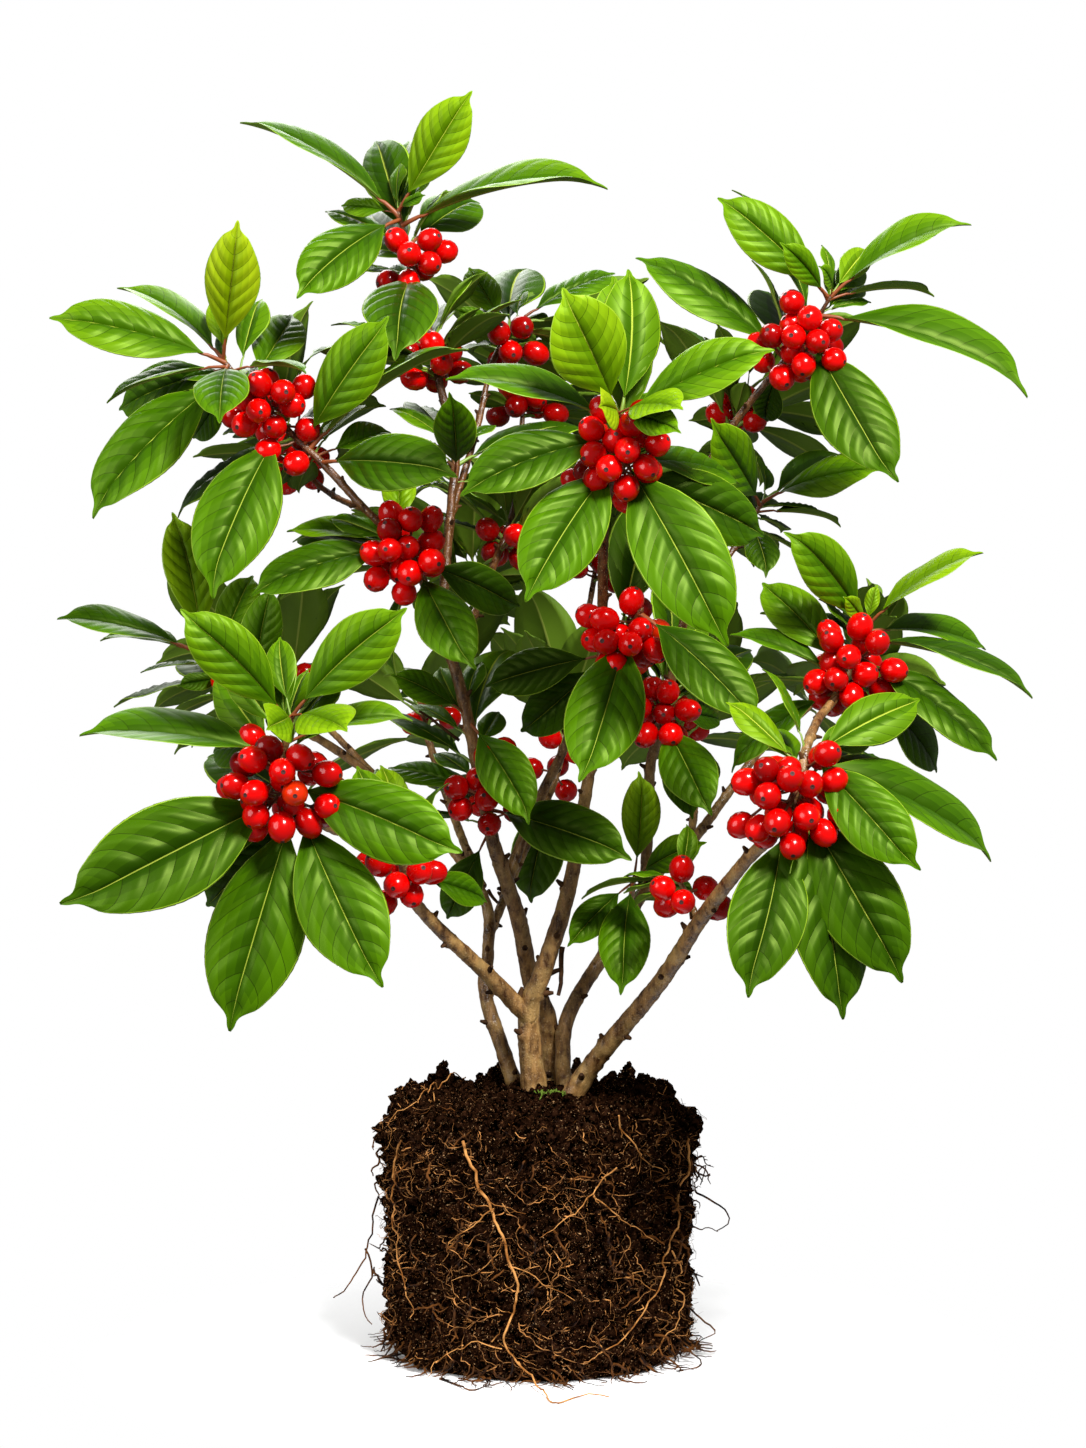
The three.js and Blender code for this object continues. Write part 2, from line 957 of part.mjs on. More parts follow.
function seenLeaves(shoot, line) {
  const [first, final] = shoot.between;
  return (shoot.leaves ?? []).map(([along, right, up, forward, turn = 0]) => {
    const foot = line.point(first + (final - first) * along);
    const share = eye.distance / (eye.distance + foot.y);
    const footX = eye.x + (foot.x - eye.x) * share;
    const footZ = eye.z + (foot.z - eye.z) * share;
    const tip = seen(footX + right, footZ + up, foot.y - forward);
    return leafAt(foot, tip, toViewer, right > 0 ? -turn : turn);
  });
}

// A grown leaf: its foot climbs the shoot while its side turns by the golden angle
function grownLeaf(shoot, line, index, random) {
  const [first, final] = shoot.between;
  const along = mix(grown.stretch, random());
  const place = first + (final - first) * along;
  const foot = line.point(place);
  const stemAxis = line.direction(place);
  const [sideways, across] = crossAxes(stemAxis);
  const angle = index * grown.goldenAngle + random() * grown.angleSpread;
  const spread = grown.openSpread * (random() - 0.5);
  const opening = THREE.MathUtils.degToRad(grown.openAtFoot - grown.closing * along + spread);
  const direction = stemAxis
    .clone()
    .multiplyScalar(Math.cos(opening))
    .addScaledVector(sideways, Math.sin(opening) * Math.cos(angle))
    .addScaledVector(across, Math.sin(opening) * Math.sin(angle));
  direction.z -= grown.droop;
  direction.normalize();
  const length = mix([grown.shortest, grown.longest], random());
  const tip = foot.clone().addScaledVector(direction, length);
  const facing = new THREE.Vector3(foot.x * outward.across, foot.y * outward.depth, outward.up);
  return leafAt(foot, tip, facing, grown.turnSpread * (random() - 0.5));
}

function mix([low, high], share) {
  return low + (high - low) * share;
}

// Two directions across a direction and across each other
function crossAxes(direction) {
  const steep = 0.9;
  const reference = Math.abs(direction.z) > steep ? [1, 0, 0] : [0, 0, 1];
  const first = new THREE.Vector3(...reference).cross(direction).normalize();
  const second = new THREE.Vector3().crossVectors(direction, first);
  return [first, second];
}

// Berries sit round the stem on short stalks, each clear of the leaves and of the others
function shootBerries(shoot, line, ownWood, random) {
  const owner = shoot.name;
  const [first, final] = shoot.between;
  const berries = [];
  const wanted = shoot.berries ?? 0;
  const keep = berryKeepOff;
  for (let i = 0; i < berry.tries * wanted && berries.length < wanted; i += 1) {
    const place = first + (final - first) * mix(berry.stretch, random());
    const foot = line.point(place);
    const stemAxis = line.direction(place);
    const [sideways, across] = crossAxes(stemAxis);
    const angle = 2 * Math.PI * random();
    const away = mix([berry.nearest, berry.furthest], random() ** berry.gathering);
    const centre = foot
      .clone()
      .addScaledVector(sideways, away * Math.cos(angle))
      .addScaledVector(across, away * Math.sin(angle))
      .addScaledVector(stemAxis, mix(berry.drift, random()));
    const isBlocked = isNear(centre, berry.radius, (other) => {
      const isOwn = other.owner === owner;
      if (other.kind === "stalk") return isOwn ? keep.ownStalk : keep.otherStalk;
      if (other.kind === "berry") return isOwn ? berry.apart - 2 * berry.radius : keep.otherBerry;
      if (other.kind === "wood") return ownWood.includes(other.owner) ? keep.ownWood : keep.otherWood;
      return isOwn ? keep.ownLeaf : keep.otherLeaf;
    });
    if (isBlocked) continue;
    berries.push({ foot, centre });
    occupy(centre, berry.radius, owner, "berry");
  }
  return berries;
}

// A berry is one skin from the foot of its stalk to its round top
function berrySolid({ foot, centre }) {
  const direction = new THREE.Vector3().subVectors(centre, foot).normalize();
  const at = (height) => centre.clone().addScaledVector(direction, height * berry.radius);
  const rings = berryRings.map(([height, share]) => {
    return ringOf(at(height), direction, share * berry.radius, stem.twigSides);
  });
  return skin([[foot], ...rings, [at(1)]]);
}

// The root ball: rings from the underside over the rounded edges to the flat top

function ballSolid() {
  const profile = [
    [0.93, 0],
    [1, 0.08],
    [1, 0.3],
    [1, 0.55],
    [1, 0.78],
    [0.985, 0.91],
    [0.9, 0.985],
    [0.72, 0.995],
    [0.42, 1],
  ];
  const crumb = (angle, level) => {
    const coarse = Math.sin(5 * angle + 9 * level) + Math.sin(8 * angle - 6 * level + 1.3);
    const fine = Math.sin(13 * angle + 17 * level + 0.4);
    return (ball.lump / 3) * (coarse + fine);
  };
  const rings = profile.map(([share, level], i) => {
    const body = ball.footRadius + (ball.topRadius - ball.footRadius) * level;
    const isFlat = i === 0 || i === profile.length - 1;
    return Array.from({ length: ball.sides }, (_, k) => {
      const angle = (2 * Math.PI * k) / ball.sides;
      const radius = body * share + (isFlat ? 0 : crumb(angle, level));
      const height = ball.height * level + (isFlat ? 0 : 0.5 * crumb(angle + 2, level));
      return new THREE.Vector3(radius * Math.cos(angle), radius * Math.sin(angle), height);
    });
  });
  return skin(rings);
}

// The scene graph

const bush = new THREE.Group();

const looks = {
  soil: { color: 0x2b1d13, roughness: 0.95, metalness: 0 },
  bark: { color: 0x6a5546, roughness: 0.75, metalness: 0 },
  foliage: { color: 0x3d7a22, roughness: 0.35, metalness: 0 },
};

// A solid whose corners that nearly meet are one, as its mesh
function tidyMesh(solid) {
  const nearly = 1e-3;
  const { vertProperties, triVerts } = solid.getMesh();
  const geometry = new THREE.BufferGeometry();
  geometry.setAttribute("position", new THREE.BufferAttribute(vertProperties, 3));
  geometry.setIndex(new THREE.BufferAttribute(triVerts, 1));
  const merged = mergeVertices(geometry.toNonIndexed(), nearly);
  const mesh = new wasm.Mesh({
    numProp: 3,
    vertProperties: merged.getAttribute("position").array,
    triVerts: new Uint32Array(merged.index.array),
  });
  return new wasm.Manifold(mesh).getMesh();
}

// The outer skin of a solid, without loose scraps and sealed hollows, as points and faces
function outerSkin(solid) {
  const { vertProperties, triVerts, numProp } = tidyMesh(solid);
  const root = Array.from({ length: vertProperties.length / numProp }, (_, i) => i);
  const rootOf = (i) => {
    while (root[i] !== i) i = root[i];
    return i;
  };
  for (let i = 0; i < triVerts.length; i += 3) {
    const [a, b, c] = [rootOf(triVerts[i]), rootOf(triVerts[i + 1]), rootOf(triVerts[i + 2])];
    const lowest = Math.min(a, b, c);
    root[a] = lowest;
    root[b] = lowest;
    root[c] = lowest;
  }
  const skins = new Map();
  for (let i = 0; i < triVerts.length; i += 3) {
    const key = rootOf(triVerts[i]);
    if (!skins.has(key)) skins.set(key, []);
    skins.get(key).push(triVerts[i], triVerts[i + 1], triVerts[i + 2]);
  }
  const corners = [...skins.values()].sort((a, b) => b.length - a.length)[0];
  const used = [...new Set(corners)];
  const place = new Map(used.map((corner, i) => [corner, i]));
  const position = used.flatMap((corner) => {
    return Array.from(vertProperties.subarray(corner * numProp, corner * numProp + 3));
  });
  return { position, index: corners.map((corner) => place.get(corner)) };
}

function addMesh(name, solid, look) {
  const { position, index } = outerSkin(solid);
  const geometry = new THREE.BufferGeometry();
  geometry.setAttribute("position", new THREE.Float32BufferAttribute(position, 3));
  geometry.setIndex(index);
  geometry.computeVertexNormals();
  const mesh = new THREE.Mesh(geometry, new THREE.MeshStandardMaterial(look));
  mesh.name = name;
  bush.add(mesh);
}

addMesh("root_ball", ballSolid(), looks.soil);

const lines = new Map(branches.map((branch) => [branch.name, new Line(branch.route)]));

// Fills the grid with the wood of a branch, so that leaves keep off it
function occupyWood(branch) {
  const line = lines.get(branch.name);
  const steps = 12;
  for (let i = 0; i <= line.last * steps; i += 1) {
    const place = i / steps;
    occupy(line.point(place), line.radius(place), branch.name, "wood");
  }
}

branches.forEach(occupyWood);

const shoots = branches.flatMap((branch) => {
  const line = lines.get(branch.name);
  return branch.shoots.map((shoot) => ({ shoot, line, ownWood: [branch.name, branch.from] }));
});

const berrySeed = 1;
const leafSeed = 101;
const placed = new Map(shoots.map(({ shoot }) => [shoot.name, { leaves: [], berries: [] }]));

for (const { shoot, line, ownWood } of shoots) {
  for (const leaf of seenLeaves(shoot, line)) {
    if (!leafFits(leaf, shoot.name, ownWood, false)) continue;
    placeLeaf(leaf, shoot.name);
    placed.get(shoot.name).leaves.push({ leaf, fine: leaf.length > leafShape.fineLength });
  }
}

shoots.forEach(({ shoot, line, ownWood }, index) => {
  const random = randomFrom(berrySeed + index);
  placed.get(shoot.name).berries = shootBerries(shoot, line, ownWood, random);
});

shoots.forEach(({ shoot, line, ownWood }, index) => {
  const random = randomFrom(leafSeed + index);
  const wanted = shoot.grown ?? 0;
  let added = 0;
  for (let i = 0; i < grown.tries * wanted && added < wanted; i += 1) {
    const leaf = grownLeaf(shoot, line, i, random);
    const turnsAway = shoot.allRound || leaf.chord.y > grown.backward * leaf.length;
    if (!turnsAway || !leafFits(leaf, shoot.name, ownWood, true)) continue;
    placeLeaf(leaf, shoot.name);
    placed.get(shoot.name).leaves.push({ leaf, fine: false });
    added += 1;
  }
});

// The limbs: the stretches of a branch between its shoots

const limbsOf = new Map();

for (const branch of branches) {
  const line = lines.get(branch.name);
  const cuts = [0, ...branch.shoots.flatMap(({ between }) => between), line.last];
  const stretches = [];
  for (let i = 0; i < cuts.length - 1; i += 2) {
    if (cuts[i + 1] > cuts[i]) stretches.push([cuts[i], cuts[i + 1]]);
  }
  const limbs = stretches.map(([first, final]) => (grow) => {
    return limbSolid(line, first, final, {
      sides: stem.limbSides,
      grow,
      foot: !branch.from && first === 0,
    });
  });
  limbsOf.set(branch.name, limbs);
  limbs.forEach((limb, i) => {
    const suffix = limbs.length > 1 ? `_${i + 1}` : "";
    const solid = i === 0 ? cutClear(limb(0), branch.from, clearance) : limb(0);
    addMesh(`${branch.name}${suffix}`, solid, looks.bark);
  });
}

// A solid cut clear of the limbs of a branch that it touches
function cutClear(solid, branchName, gap) {
  return (limbsOf.get(branchName) ?? []).reduce((rest, limb) => {
    const swollen = limb(gap);
    return rest.intersect(swollen).isEmpty() ? rest : rest.subtract(swollen);
  }, solid);
}

// The masses of foliage: a stretch of stem with its leaves and berries fused on

const stalkGap = 0.25; // gap to the limbs of its own branch, a little under the gap of its stem

for (const { shoot, line, ownWood } of shoots) {
  const [first, final] = shoot.between;
  const { leaves, berries } = placed.get(shoot.name);
  const fused = wasm.Manifold.union([
    limbSolid(line, first, final, { sides: stem.twigSides }),
    ...leaves.map(({ leaf, fine }) => leafSolid(leaf, fine)),
    ...berries.map(berrySolid),
  ]);
  const [branchName, parentName] = ownWood;
  const solid = cutClear(cutClear(fused, branchName, stalkGap), parentName, clearance);
  addMesh(shoot.name, solid, looks.foliage);
}

export default bush;
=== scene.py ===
"""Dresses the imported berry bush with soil, roots, bark, leaves and berries, in a plain pale studio.

Lengths are in millimetres, with +Z up and the origin under the root ball, until a mesh is made.
The settings, and all that Blender is given, are in metres.
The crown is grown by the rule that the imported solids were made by, and then carried on to
finer leaves, stalks, berries and buds.
"""

import json
import math
import zlib
from collections import namedtuple
from functools import lru_cache
from itertools import product

import bpy
import numpy as np
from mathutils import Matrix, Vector, noise

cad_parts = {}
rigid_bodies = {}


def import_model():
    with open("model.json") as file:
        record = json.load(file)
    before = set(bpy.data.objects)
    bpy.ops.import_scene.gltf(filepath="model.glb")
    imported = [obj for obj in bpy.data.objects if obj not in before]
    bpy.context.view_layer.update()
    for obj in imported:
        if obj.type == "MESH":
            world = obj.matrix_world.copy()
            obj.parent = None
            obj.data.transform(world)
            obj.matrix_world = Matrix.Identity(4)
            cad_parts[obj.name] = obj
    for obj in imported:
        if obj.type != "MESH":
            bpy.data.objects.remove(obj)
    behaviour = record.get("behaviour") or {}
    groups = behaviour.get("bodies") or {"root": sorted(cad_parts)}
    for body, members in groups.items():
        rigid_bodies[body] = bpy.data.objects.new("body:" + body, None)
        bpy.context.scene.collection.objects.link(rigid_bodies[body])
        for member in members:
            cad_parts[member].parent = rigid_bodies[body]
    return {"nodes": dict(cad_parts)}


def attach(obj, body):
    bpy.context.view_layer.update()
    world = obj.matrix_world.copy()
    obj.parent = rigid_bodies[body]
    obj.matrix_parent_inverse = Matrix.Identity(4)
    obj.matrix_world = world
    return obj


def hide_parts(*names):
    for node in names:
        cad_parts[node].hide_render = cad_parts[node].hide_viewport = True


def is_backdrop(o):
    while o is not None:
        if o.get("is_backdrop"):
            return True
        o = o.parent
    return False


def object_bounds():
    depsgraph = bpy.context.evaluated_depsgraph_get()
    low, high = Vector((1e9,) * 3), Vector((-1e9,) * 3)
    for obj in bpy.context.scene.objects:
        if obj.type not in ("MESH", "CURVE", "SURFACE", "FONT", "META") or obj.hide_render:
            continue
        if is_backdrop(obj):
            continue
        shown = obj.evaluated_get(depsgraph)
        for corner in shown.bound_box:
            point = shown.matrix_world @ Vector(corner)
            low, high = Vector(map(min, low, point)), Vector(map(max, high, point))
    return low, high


for startup_object in list(bpy.data.objects):
    bpy.data.objects.remove(startup_object)

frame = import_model()
cad_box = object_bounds()

bl_info = {
    "name": "Berry bush on its root ball",
    "version": (1, 0, 0),
    "blender": (4, 5, 0),
    "location": "3D View > Sidebar > Bush",
    "description": "Dresses the packed bush with soil, roots, bark, leaves and berries",
    "category": "Object",
}

MM = 0.001

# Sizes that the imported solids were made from

BALL_HEIGHT = 121.0
BALL_TOP_RADIUS = 73.0
BALL_FOOT_RADIUS = 70.0
FOOT_FLARE = 1.12

LEAF_WIDTH_SHARE = 0.47
LEAF_STALK = 11.0
LEAF_STALK_SHARE = 0.22
LEAF_ARCH_SHARE = 0.07
BLADE_LEAN = 0.86  # under 1 the blade is widest before its middle
BLADE_FULLNESS = 0.8  # under 1 the blade is fuller than a sine
ROOT_SHARE = 0.3  # this much of a leaf may be near its own shoot and branch

BERRY_RADIUS = 6.1
BERRY_NEAREST = 9.2
BERRY_FURTHEST = 17.0
BERRY_GATHERING = 1.5  # over 1 most berries sit near the stem
BERRY_APART = 12.5
BERRY_STRETCH = (0.05, 0.77)  # part of the shoot that bears berries
BERRY_DRIFT = (-1.2, 2.8)  # how far a berry sits down or up the stem from its foot
BERRY_TRIES = 60

KeepOff = namedtuple("KeepOff", "leaf wood berry sibling")
KEEP_OFF = KeepOff(leaf=6.0, wood=3.0, berry=2.5, sibling=3.5)
LEAF_LOWEST = BALL_HEIGHT + 24.0

# How far a berry keeps from what belongs to its own spray, and from what belongs to others
BERRY_KEEP_OFF = {
    "stalk": (0.4, 2.0), "berry": (BERRY_APART - 2 * BERRY_RADIUS, 3.0), "wood": (-3.5, 1.5),
    "leaf": (1.2, 2.5),
}

GROWN_STRETCH = (0.08, 0.98)
GOLDEN_ANGLE = 2.39996
ANGLE_SPREAD = 0.9
OPEN_AT_FOOT = 78.0  # degrees between the stem and a leaf at the foot of its shoot
CLOSING = 38.0
OPEN_SPREAD = 12.0
DROOP = 0.16
TURN_SPREAD = 50.0
BACKWARD = 0.2  # a leaf behind seen ones points back by at least this share of its length
OUTWARD = (0.004, 0.006, 0.8)  # a grown leaf faces up, and out by this much a millimetre
TO_VIEWER = (0.0, -0.95, 0.3)  # a seen leaf's upper side faces the eye and a little upwards

CROWN_BACK = 186.0
CROWN_SIDE = 232.0
CROWN_LOW = 200.0

# The eye that the measured places are seen from, level and in front of the bush
EYE_X = 2.4
EYE_Z = 300.0
EYE_DISTANCE = 1300.0

# Sky that shows between the shoots, as (left, right, bottom, top) on the measuring plane
SKY_WINDOWS = (
    (-260, -170, 505, 640), (-260, -215, 366, 455), (-260, -178, 200, 290),
    (-75, -12, 160, 214), (-75, 80, 140, 206), (-18, 95, 522, 640), (60, 92, 500, 640),
    (168, 260, 392, 455), (185, 260, 500, 640), (205, 260, 180, 270),
    (12, 36, 258, 292), (-12, 8, 268, 300), (78, 96, 205, 235),
)

# A branch: its name, the branch it forks from, its route from foot to tip as (across, height,
# depth, radius), and its shoots. A shoot takes the stretch between two points of the route. Its
# seen leaves are (place along the stretch, how far the tip lies right, up and forward of the
# foot, the turn of the blade in degrees, how broad it is, its green). cluster is how many berries
# the shoot bears in all, and heart is where along it the middle of their ball lies.
Branch = namedtuple("Branch", "name fork route shoots")
Shoot = namedtuple(
    "Shoot", "name span leaves berries grown all_round cluster heart",
    defaults=((), 0, 0, False, 0, 0.5),
)

BRANCHES = (
    Branch("front_stem", None, (
        (-1.4, 121, -6, 6.4), (-4.3, 160.8, -8, 5.4), (2.4, 181.4, -11, 4.7), (14.9, 221.3, -14, 3.8),
        (24, 273.1, -22, 3), (29.8, 311.5, -29, 2.8), (31, 347, -38, 2.6), (31.2, 377.7, -54, 2.5),
        (32.7, 402.7, -75, 2.3), (39.4, 430.1, -98, 1.9), (38.4, 449.7, -112, 1.2),
    ), (
        Shoot("centre_front_foliage", (8, 10), berries=9, cluster=21, grown=3, leaves=(
            (0.35, 72, -32, -34), (0.4, 59, -8, -44, 30), (0.45, -45, -68, 42, 0, 1, 2),
            (0.5, 51, -92, 30, 0, 1, 2), (0.65, -77, -26, 26, 15), (0.83, -83, 23, 8, 40),
            (0.92, 74, 35, 14, 20, 1, 3), (0.95, -27, 60, 30, 0, 1.5, 4), (0.97, 30, -8, 30),
            (0.99, 30, 3, 30, 30, 1.9, 4), (0.99, -9, 4, 30, -30, 1.8, 5),
        )),
    )),
    Branch("left_fork", "front_stem", (
        (-3.5, 158, -8, 4.6), (-24, 179.5, -17, 3.9), (-47, 201.1, -36, 3.3), (-60.4, 216.9, -52, 2.8),
        (-68.1, 239.5, -66, 2.5), (-90.2, 246.7, -92, 2.3), (-107, 254, -106, 2.1),
        (-121.9, 272, -118, 1.8), (-118.5, 304.8, -128, 1.1),
    ), (
        Shoot("low_left_foliage", (3, 4), berries=4, cluster=8, grown=2, leaves=(
            (0.45, 40, -12, -26, 20),
        )),
        Shoot("lower_left_front_foliage", (6, 8), berries=10, cluster=26, grown=3, leaves=(
            (0.1, -50, -46, -30), (0.14, -72, -34, -18, 30), (0.25, 40, -88, 34, 0, 1, 2),
            (0.27, -33, -109, 22, 0, 1, 2), (0.38, -108, -55, 36, 0, 1, 1), (0.48, 84, -34, 28, 0, 1, 2),
            (0.7, -98, 12, 8, 45), (0.75, -36, 0, -40), (0.8, 60, 13, -6, 40), (0.93, -53, 54, 24, 0, 1, 3),
            (0.97, 56, 52, 18, 0, 1, 3), (0.99, 27, -7, 34, 30, 1.8, 4), (0.99, -12, -6, 32, -30, 1.7, 4),
        )),
    )),
    Branch("left_back_stem", None, (
        (-9.1, 121, 10, 4.2), (-24.9, 168.9, 16, 3.5), (-24, 190, 24, 3.1), (-25.5, 215, 34, 2.9),
        (-47, 246, 46, 2.6), (-90.2, 283, 42, 2.3), (-132.4, 308.6, 26, 2), (-164.6, 335.5, 10, 1.2),
    ), (
        Shoot("left_foliage", (6, 7), berries=2, cluster=3, grown=3, leaves=(
            (0.1, 8, 55, 6), (0.5, -24, -3, 18), (0.7, 18, 45, -26), (0.9, -14, 69, -4, 30),
            (0.93, -49, 8, -22, 50), (0.97, -67, 17, 12, 45),
        )),
    )),
    Branch("centre_stem", None, (
        (7.2, 121, 17, 5.2), (4.8, 157.9, 12, 4.7), (-2.8, 174.2, 9, 4.4), (-9.1, 205.4, 3, 4.1),
        (-17.7, 231.3, -6, 3.8), (-22, 245.3, -12, 3.5), (-27.3, 270.7, -18, 3.2), (-34.5, 306, -19, 3),
        (-40, 327, -18, 2.8), (-45.6, 345, -16, 2.7), (-44.2, 376, -11, 2.5), (-41.5, 408, -6, 2.3),
        (-39.8, 431.5, 0, 2.2), (-47, 462.7, 4, 2.1), (-51.3, 484.3, 6, 1.9), (-56.6, 503.5, 6, 1.8),
        (-60.9, 521.7, 2, 1.6), (-67.6, 547.7, -4, 1),
    ), (
        Shoot("low_centre_foliage", (5, 7), berries=5, cluster=10, grown=3, leaves=(
            (0.1, -21, -44, -22), (0.3, 70, -23, 34, 10), (0.4, -46, 14, -18, 30), (0.93, 31, -48, 36),
            (0.97, -36, 20, 16),
        )),
        Shoot("upper_middle_low_foliage", (11, 12), grown=3, leaves=(
            (0.5, -2, 39, 44),
        )),
        Shoot("upper_middle_foliage", (13, 14), berries=5, cluster=9, grown=4, all_round=True),
        Shoot("top_foliage", (15, 17), berries=5, cluster=9, grown=3, leaves=(
            (0.35, -8, -38, 74), (0.65, 34, 23, -54), (0.85, 98, 22, 8, 50), (0.9, -50, -37, 44),
            (0.93, -75, 46, -6, 50), (0.95, -28, 4, -12), (0.97, 35, 58, 24), (0.99, 13, 7, 12),
        )),
    )),
    Branch("left_bough", "centre_stem", (
        (-44.6, 341, -17, 2.5), (-51.8, 359.5, -32, 2.3), (-57.6, 373.9, -42, 2.2), (-68.1, 388.3, -50, 2),
        (-84.4, 404.6, -52, 1.9), (-102.2, 423.8, -48, 1.8), (-128.6, 449.7, -42, 1.5),
        (-151.2, 474.7, -38, 1),
    ), (
        Shoot("left_middle_foliage", (2, 3), berries=7, cluster=17, grown=3, leaves=(
            (0.1, 26, -49, 42), (0.15, -11, -52, 12, 60), (0.3, 52, -23, -28), (0.7, -74, -21, 22, 20),
            (0.75, -56, 8, -18, 40), (0.9, 0, 38, -24),
        )),
        Shoot("upper_left_foliage", (5, 7), berries=8, cluster=17, grown=3, leaves=(
            (0.04, 65, -4, 46), (0.1, 36, 13, -34), (0.16, 75, 51, 4, 65), (0.2, 41, 61, 28),
            (0.33, -13, -50, -34, 50), (0.38, -37, -81, 38), (0.72, 22, 36, -46), (0.83, -22, -30, -32),
            (0.88, -70, -68, 14, 15), (0.9, 36, 0, 30, 60), (0.92, -54, -20, -38), (0.94, -59, -16, 2, 50),
            (0.95, -4, -26, 60), (0.97, -51, 37, -30, 50), (0.98, -84, 22, 22, 20), (0.99, -4, 31, -14),
            (1, 7, 67, 28),
        )),
    )),
    Branch("top_middle_bough", "centre_stem", (
        (-43, 396, -7, 1.9), (-29.5, 441.1, 22, 1.7), (-21.6, 474.2, 36, 1.5), (-8.6, 494.9, 40, 0.9),
    ), (
        Shoot("top_middle_foliage", (2, 3), berries=3, cluster=5, grown=3, leaves=(
            (0.5, -24, 14, 18), (0.55, -19, 33, -22), (0.93, 47, 23, -24, 30),
        )),
    )),
    Branch("middle_bough", "centre_stem", (
        (-15.2, 224, -3, 3), (-8, 243, 6, 2.7), (2, 266.9, 4, 2.5), (12, 287, -2, 2.3), (26, 321.1, -15, 2),
        (34, 333.1, -26, 1.9), (50.5, 355.7, -58, 1.1),
    ), (
        Shoot("middle_foliage", (5, 6), berries=7, cluster=18, grown=2, leaves=(
            (0.02, -43, -38, -30), (0.02, -60, -15, -10), (0.6, -22, -74, 50), (0.9, 57, -53, 34, 15),
        )),
    )),
    Branch("right_back_stem", None, (
        (12.5, 121, 5, 4.2), (13.5, 156.5, 8, 3.9), (32.2, 190.1, 18, 3.5), (58.6, 229.9, 34, 3),
        (74.4, 244.3, 48, 2.7), (90.3, 265.4, 66, 2.4), (106.6, 287, 84, 2.1), (125.8, 304.3, 98, 1.9),
        (157, 331, 106, 1),
    ), (
        Shoot("right_back_foliage", (7, 8), berries=3, cluster=5, grown=8, all_round=True),
    )),
    Branch("low_right_twig", "right_back_stem", (
        (43.2, 207, 20, 1.7), (45, 217, 8, 1.5), (46.1, 227, -10, 1),
    ), (
        Shoot("low_right_foliage", (0, 2), leaves=(
            (0.8, 30, -2, 10, 20), (0.85, -31, -30, 24), (0.9, 4, 52, 6), (0.92, 34, 18, 30),
            (0.96, -5, -55, 40),
        )),
    )),
    Branch("right_stem", None, (
        (15.9, 121, -10, 5.6), (28.4, 139.5, -16, 4.8), (58.6, 176.1, -42, 4.1), (78.3, 206.4, -70, 3.6),
        (99.4, 233.7, -98, 3.1), (113.8, 248.1, -112, 2.8), (125.8, 270.7, -118, 2.5),
        (128.7, 287.5, -112, 2.3), (134.4, 301.9, -95, 2.1), (142.6, 312.5, -78, 2),
        (149.8, 326.9, -62, 1.7), (157.5, 347, -52, 1),
    ), (
        Shoot("lower_right_front_foliage", (5, 7), berries=10, cluster=28, grown=2, heart=0.3, leaves=(
            (0.15, -19, -85, 38, 0, 1, 1), (0.35, 23, -106, 18, 20), (0.4, 52, -90, 18),
            (0.45, 26, -58, -28), (0.9, 91, -47, -22, 40), (0.98, 53, -57, 34),
        )),
        Shoot("right_foliage", (9, 11), berries=7, cluster=18, grown=2, leaves=(
            (0.15, -54, -37, -18, 35), (0.33, -55, 22, -12, 45), (0.38, -42, 45, -24),
            (0.45, 44, -49, -30, 30), (0.65, 68, -50, 22, 35), (0.85, 83, -26, 8, 55),
            (0.93, 60, -8, -28, 40), (0.97, -36, 47, 34), (0.98, 56, 37, 14, 50), (0.99, -10, 15, 20),
            (1, 5, 20, -2),
        )),
    )),
    Branch("right_stem_twig", "right_stem", (
        (76, 208, -68, 1.6), (71, 219, -60, 1.4), (66, 227, -54, 0.9),
    ), (
        Shoot("low_right_berries", (0, 2), cluster=6, berries=5),
    )),
    Branch("upper_right_bough", "right_back_stem", (
        (51, 218, 30, 2.9), (52.8, 249.1, 30, 2.8), (53.8, 277.9, 22, 2.7), (57.6, 294.7, 16, 2.6),
        (62.9, 316.3, 8, 2.4), (69, 345, 4, 2.2), (73.4, 366, 1, 2.1), (75.4, 404, -4, 2),
        (86, 432, -9, 1.9), (110.4, 465.1, -17, 1.7), (125.8, 481.9, -20, 1.5), (141.2, 506.4, -24, 0.9),
    ), (
        Shoot("right_middle_foliage", (3, 4), berries=5, cluster=12, grown=3, leaves=(
            (0.02, 18, -40, 10), (0.4, 23, -46, 48), (0.55, 28, -4, -26),
        )),
        Shoot("upper_right_foliage", (9, 11), berries=9, cluster=19, grown=2, leaves=(
            (0.2, -8, -28, -36), (0.27, -72, 50, -6, 30), (0.44, 29, -48, -26, 50), (0.62, 41, -71, 38),
            (0.8, 102, -34, 14, 40), (0.93, -22, 28, 24), (0.95, 50, 4, -16, 65), (0.96, -53, 49, 8),
            (0.98, 66, 37, 8, 40), (1, -5, 14, 24),
        )),
    )),
    Branch("right_side_bough", "upper_right_bough", (
        (71.5, 357, 2, 1.8), (88.4, 376, 14, 1.5), (99.4, 393.1, 20, 1.4), (108.5, 407.5, 22, 0.9),
    ), (
        Shoot("upper_right_low_foliage", (2, 3), grown=3, leaves=(
            (0.2, 9, -24, 38), (0.6, 41, -5, -18, 60), (0.8, -24, 40, 52), (0.95, 57, 16, 34, 20),
        )),
    )),
    Branch("back_left_bough", "left_back_stem", (
        (-27, 222, 37, 2.4), (-39.8, 254, 70, 2.2), (-51.8, 290, 98, 2), (-56.6, 314, 112, 1.8),
        (-47, 335.5, 125, 1.7), (-39.8, 350, 132, 1.5), (-27.8, 378.7, 140, 0.9),
    ), (
        Shoot("back_lower_left_foliage", (2, 3), berries=2, cluster=7, grown=6, all_round=True),
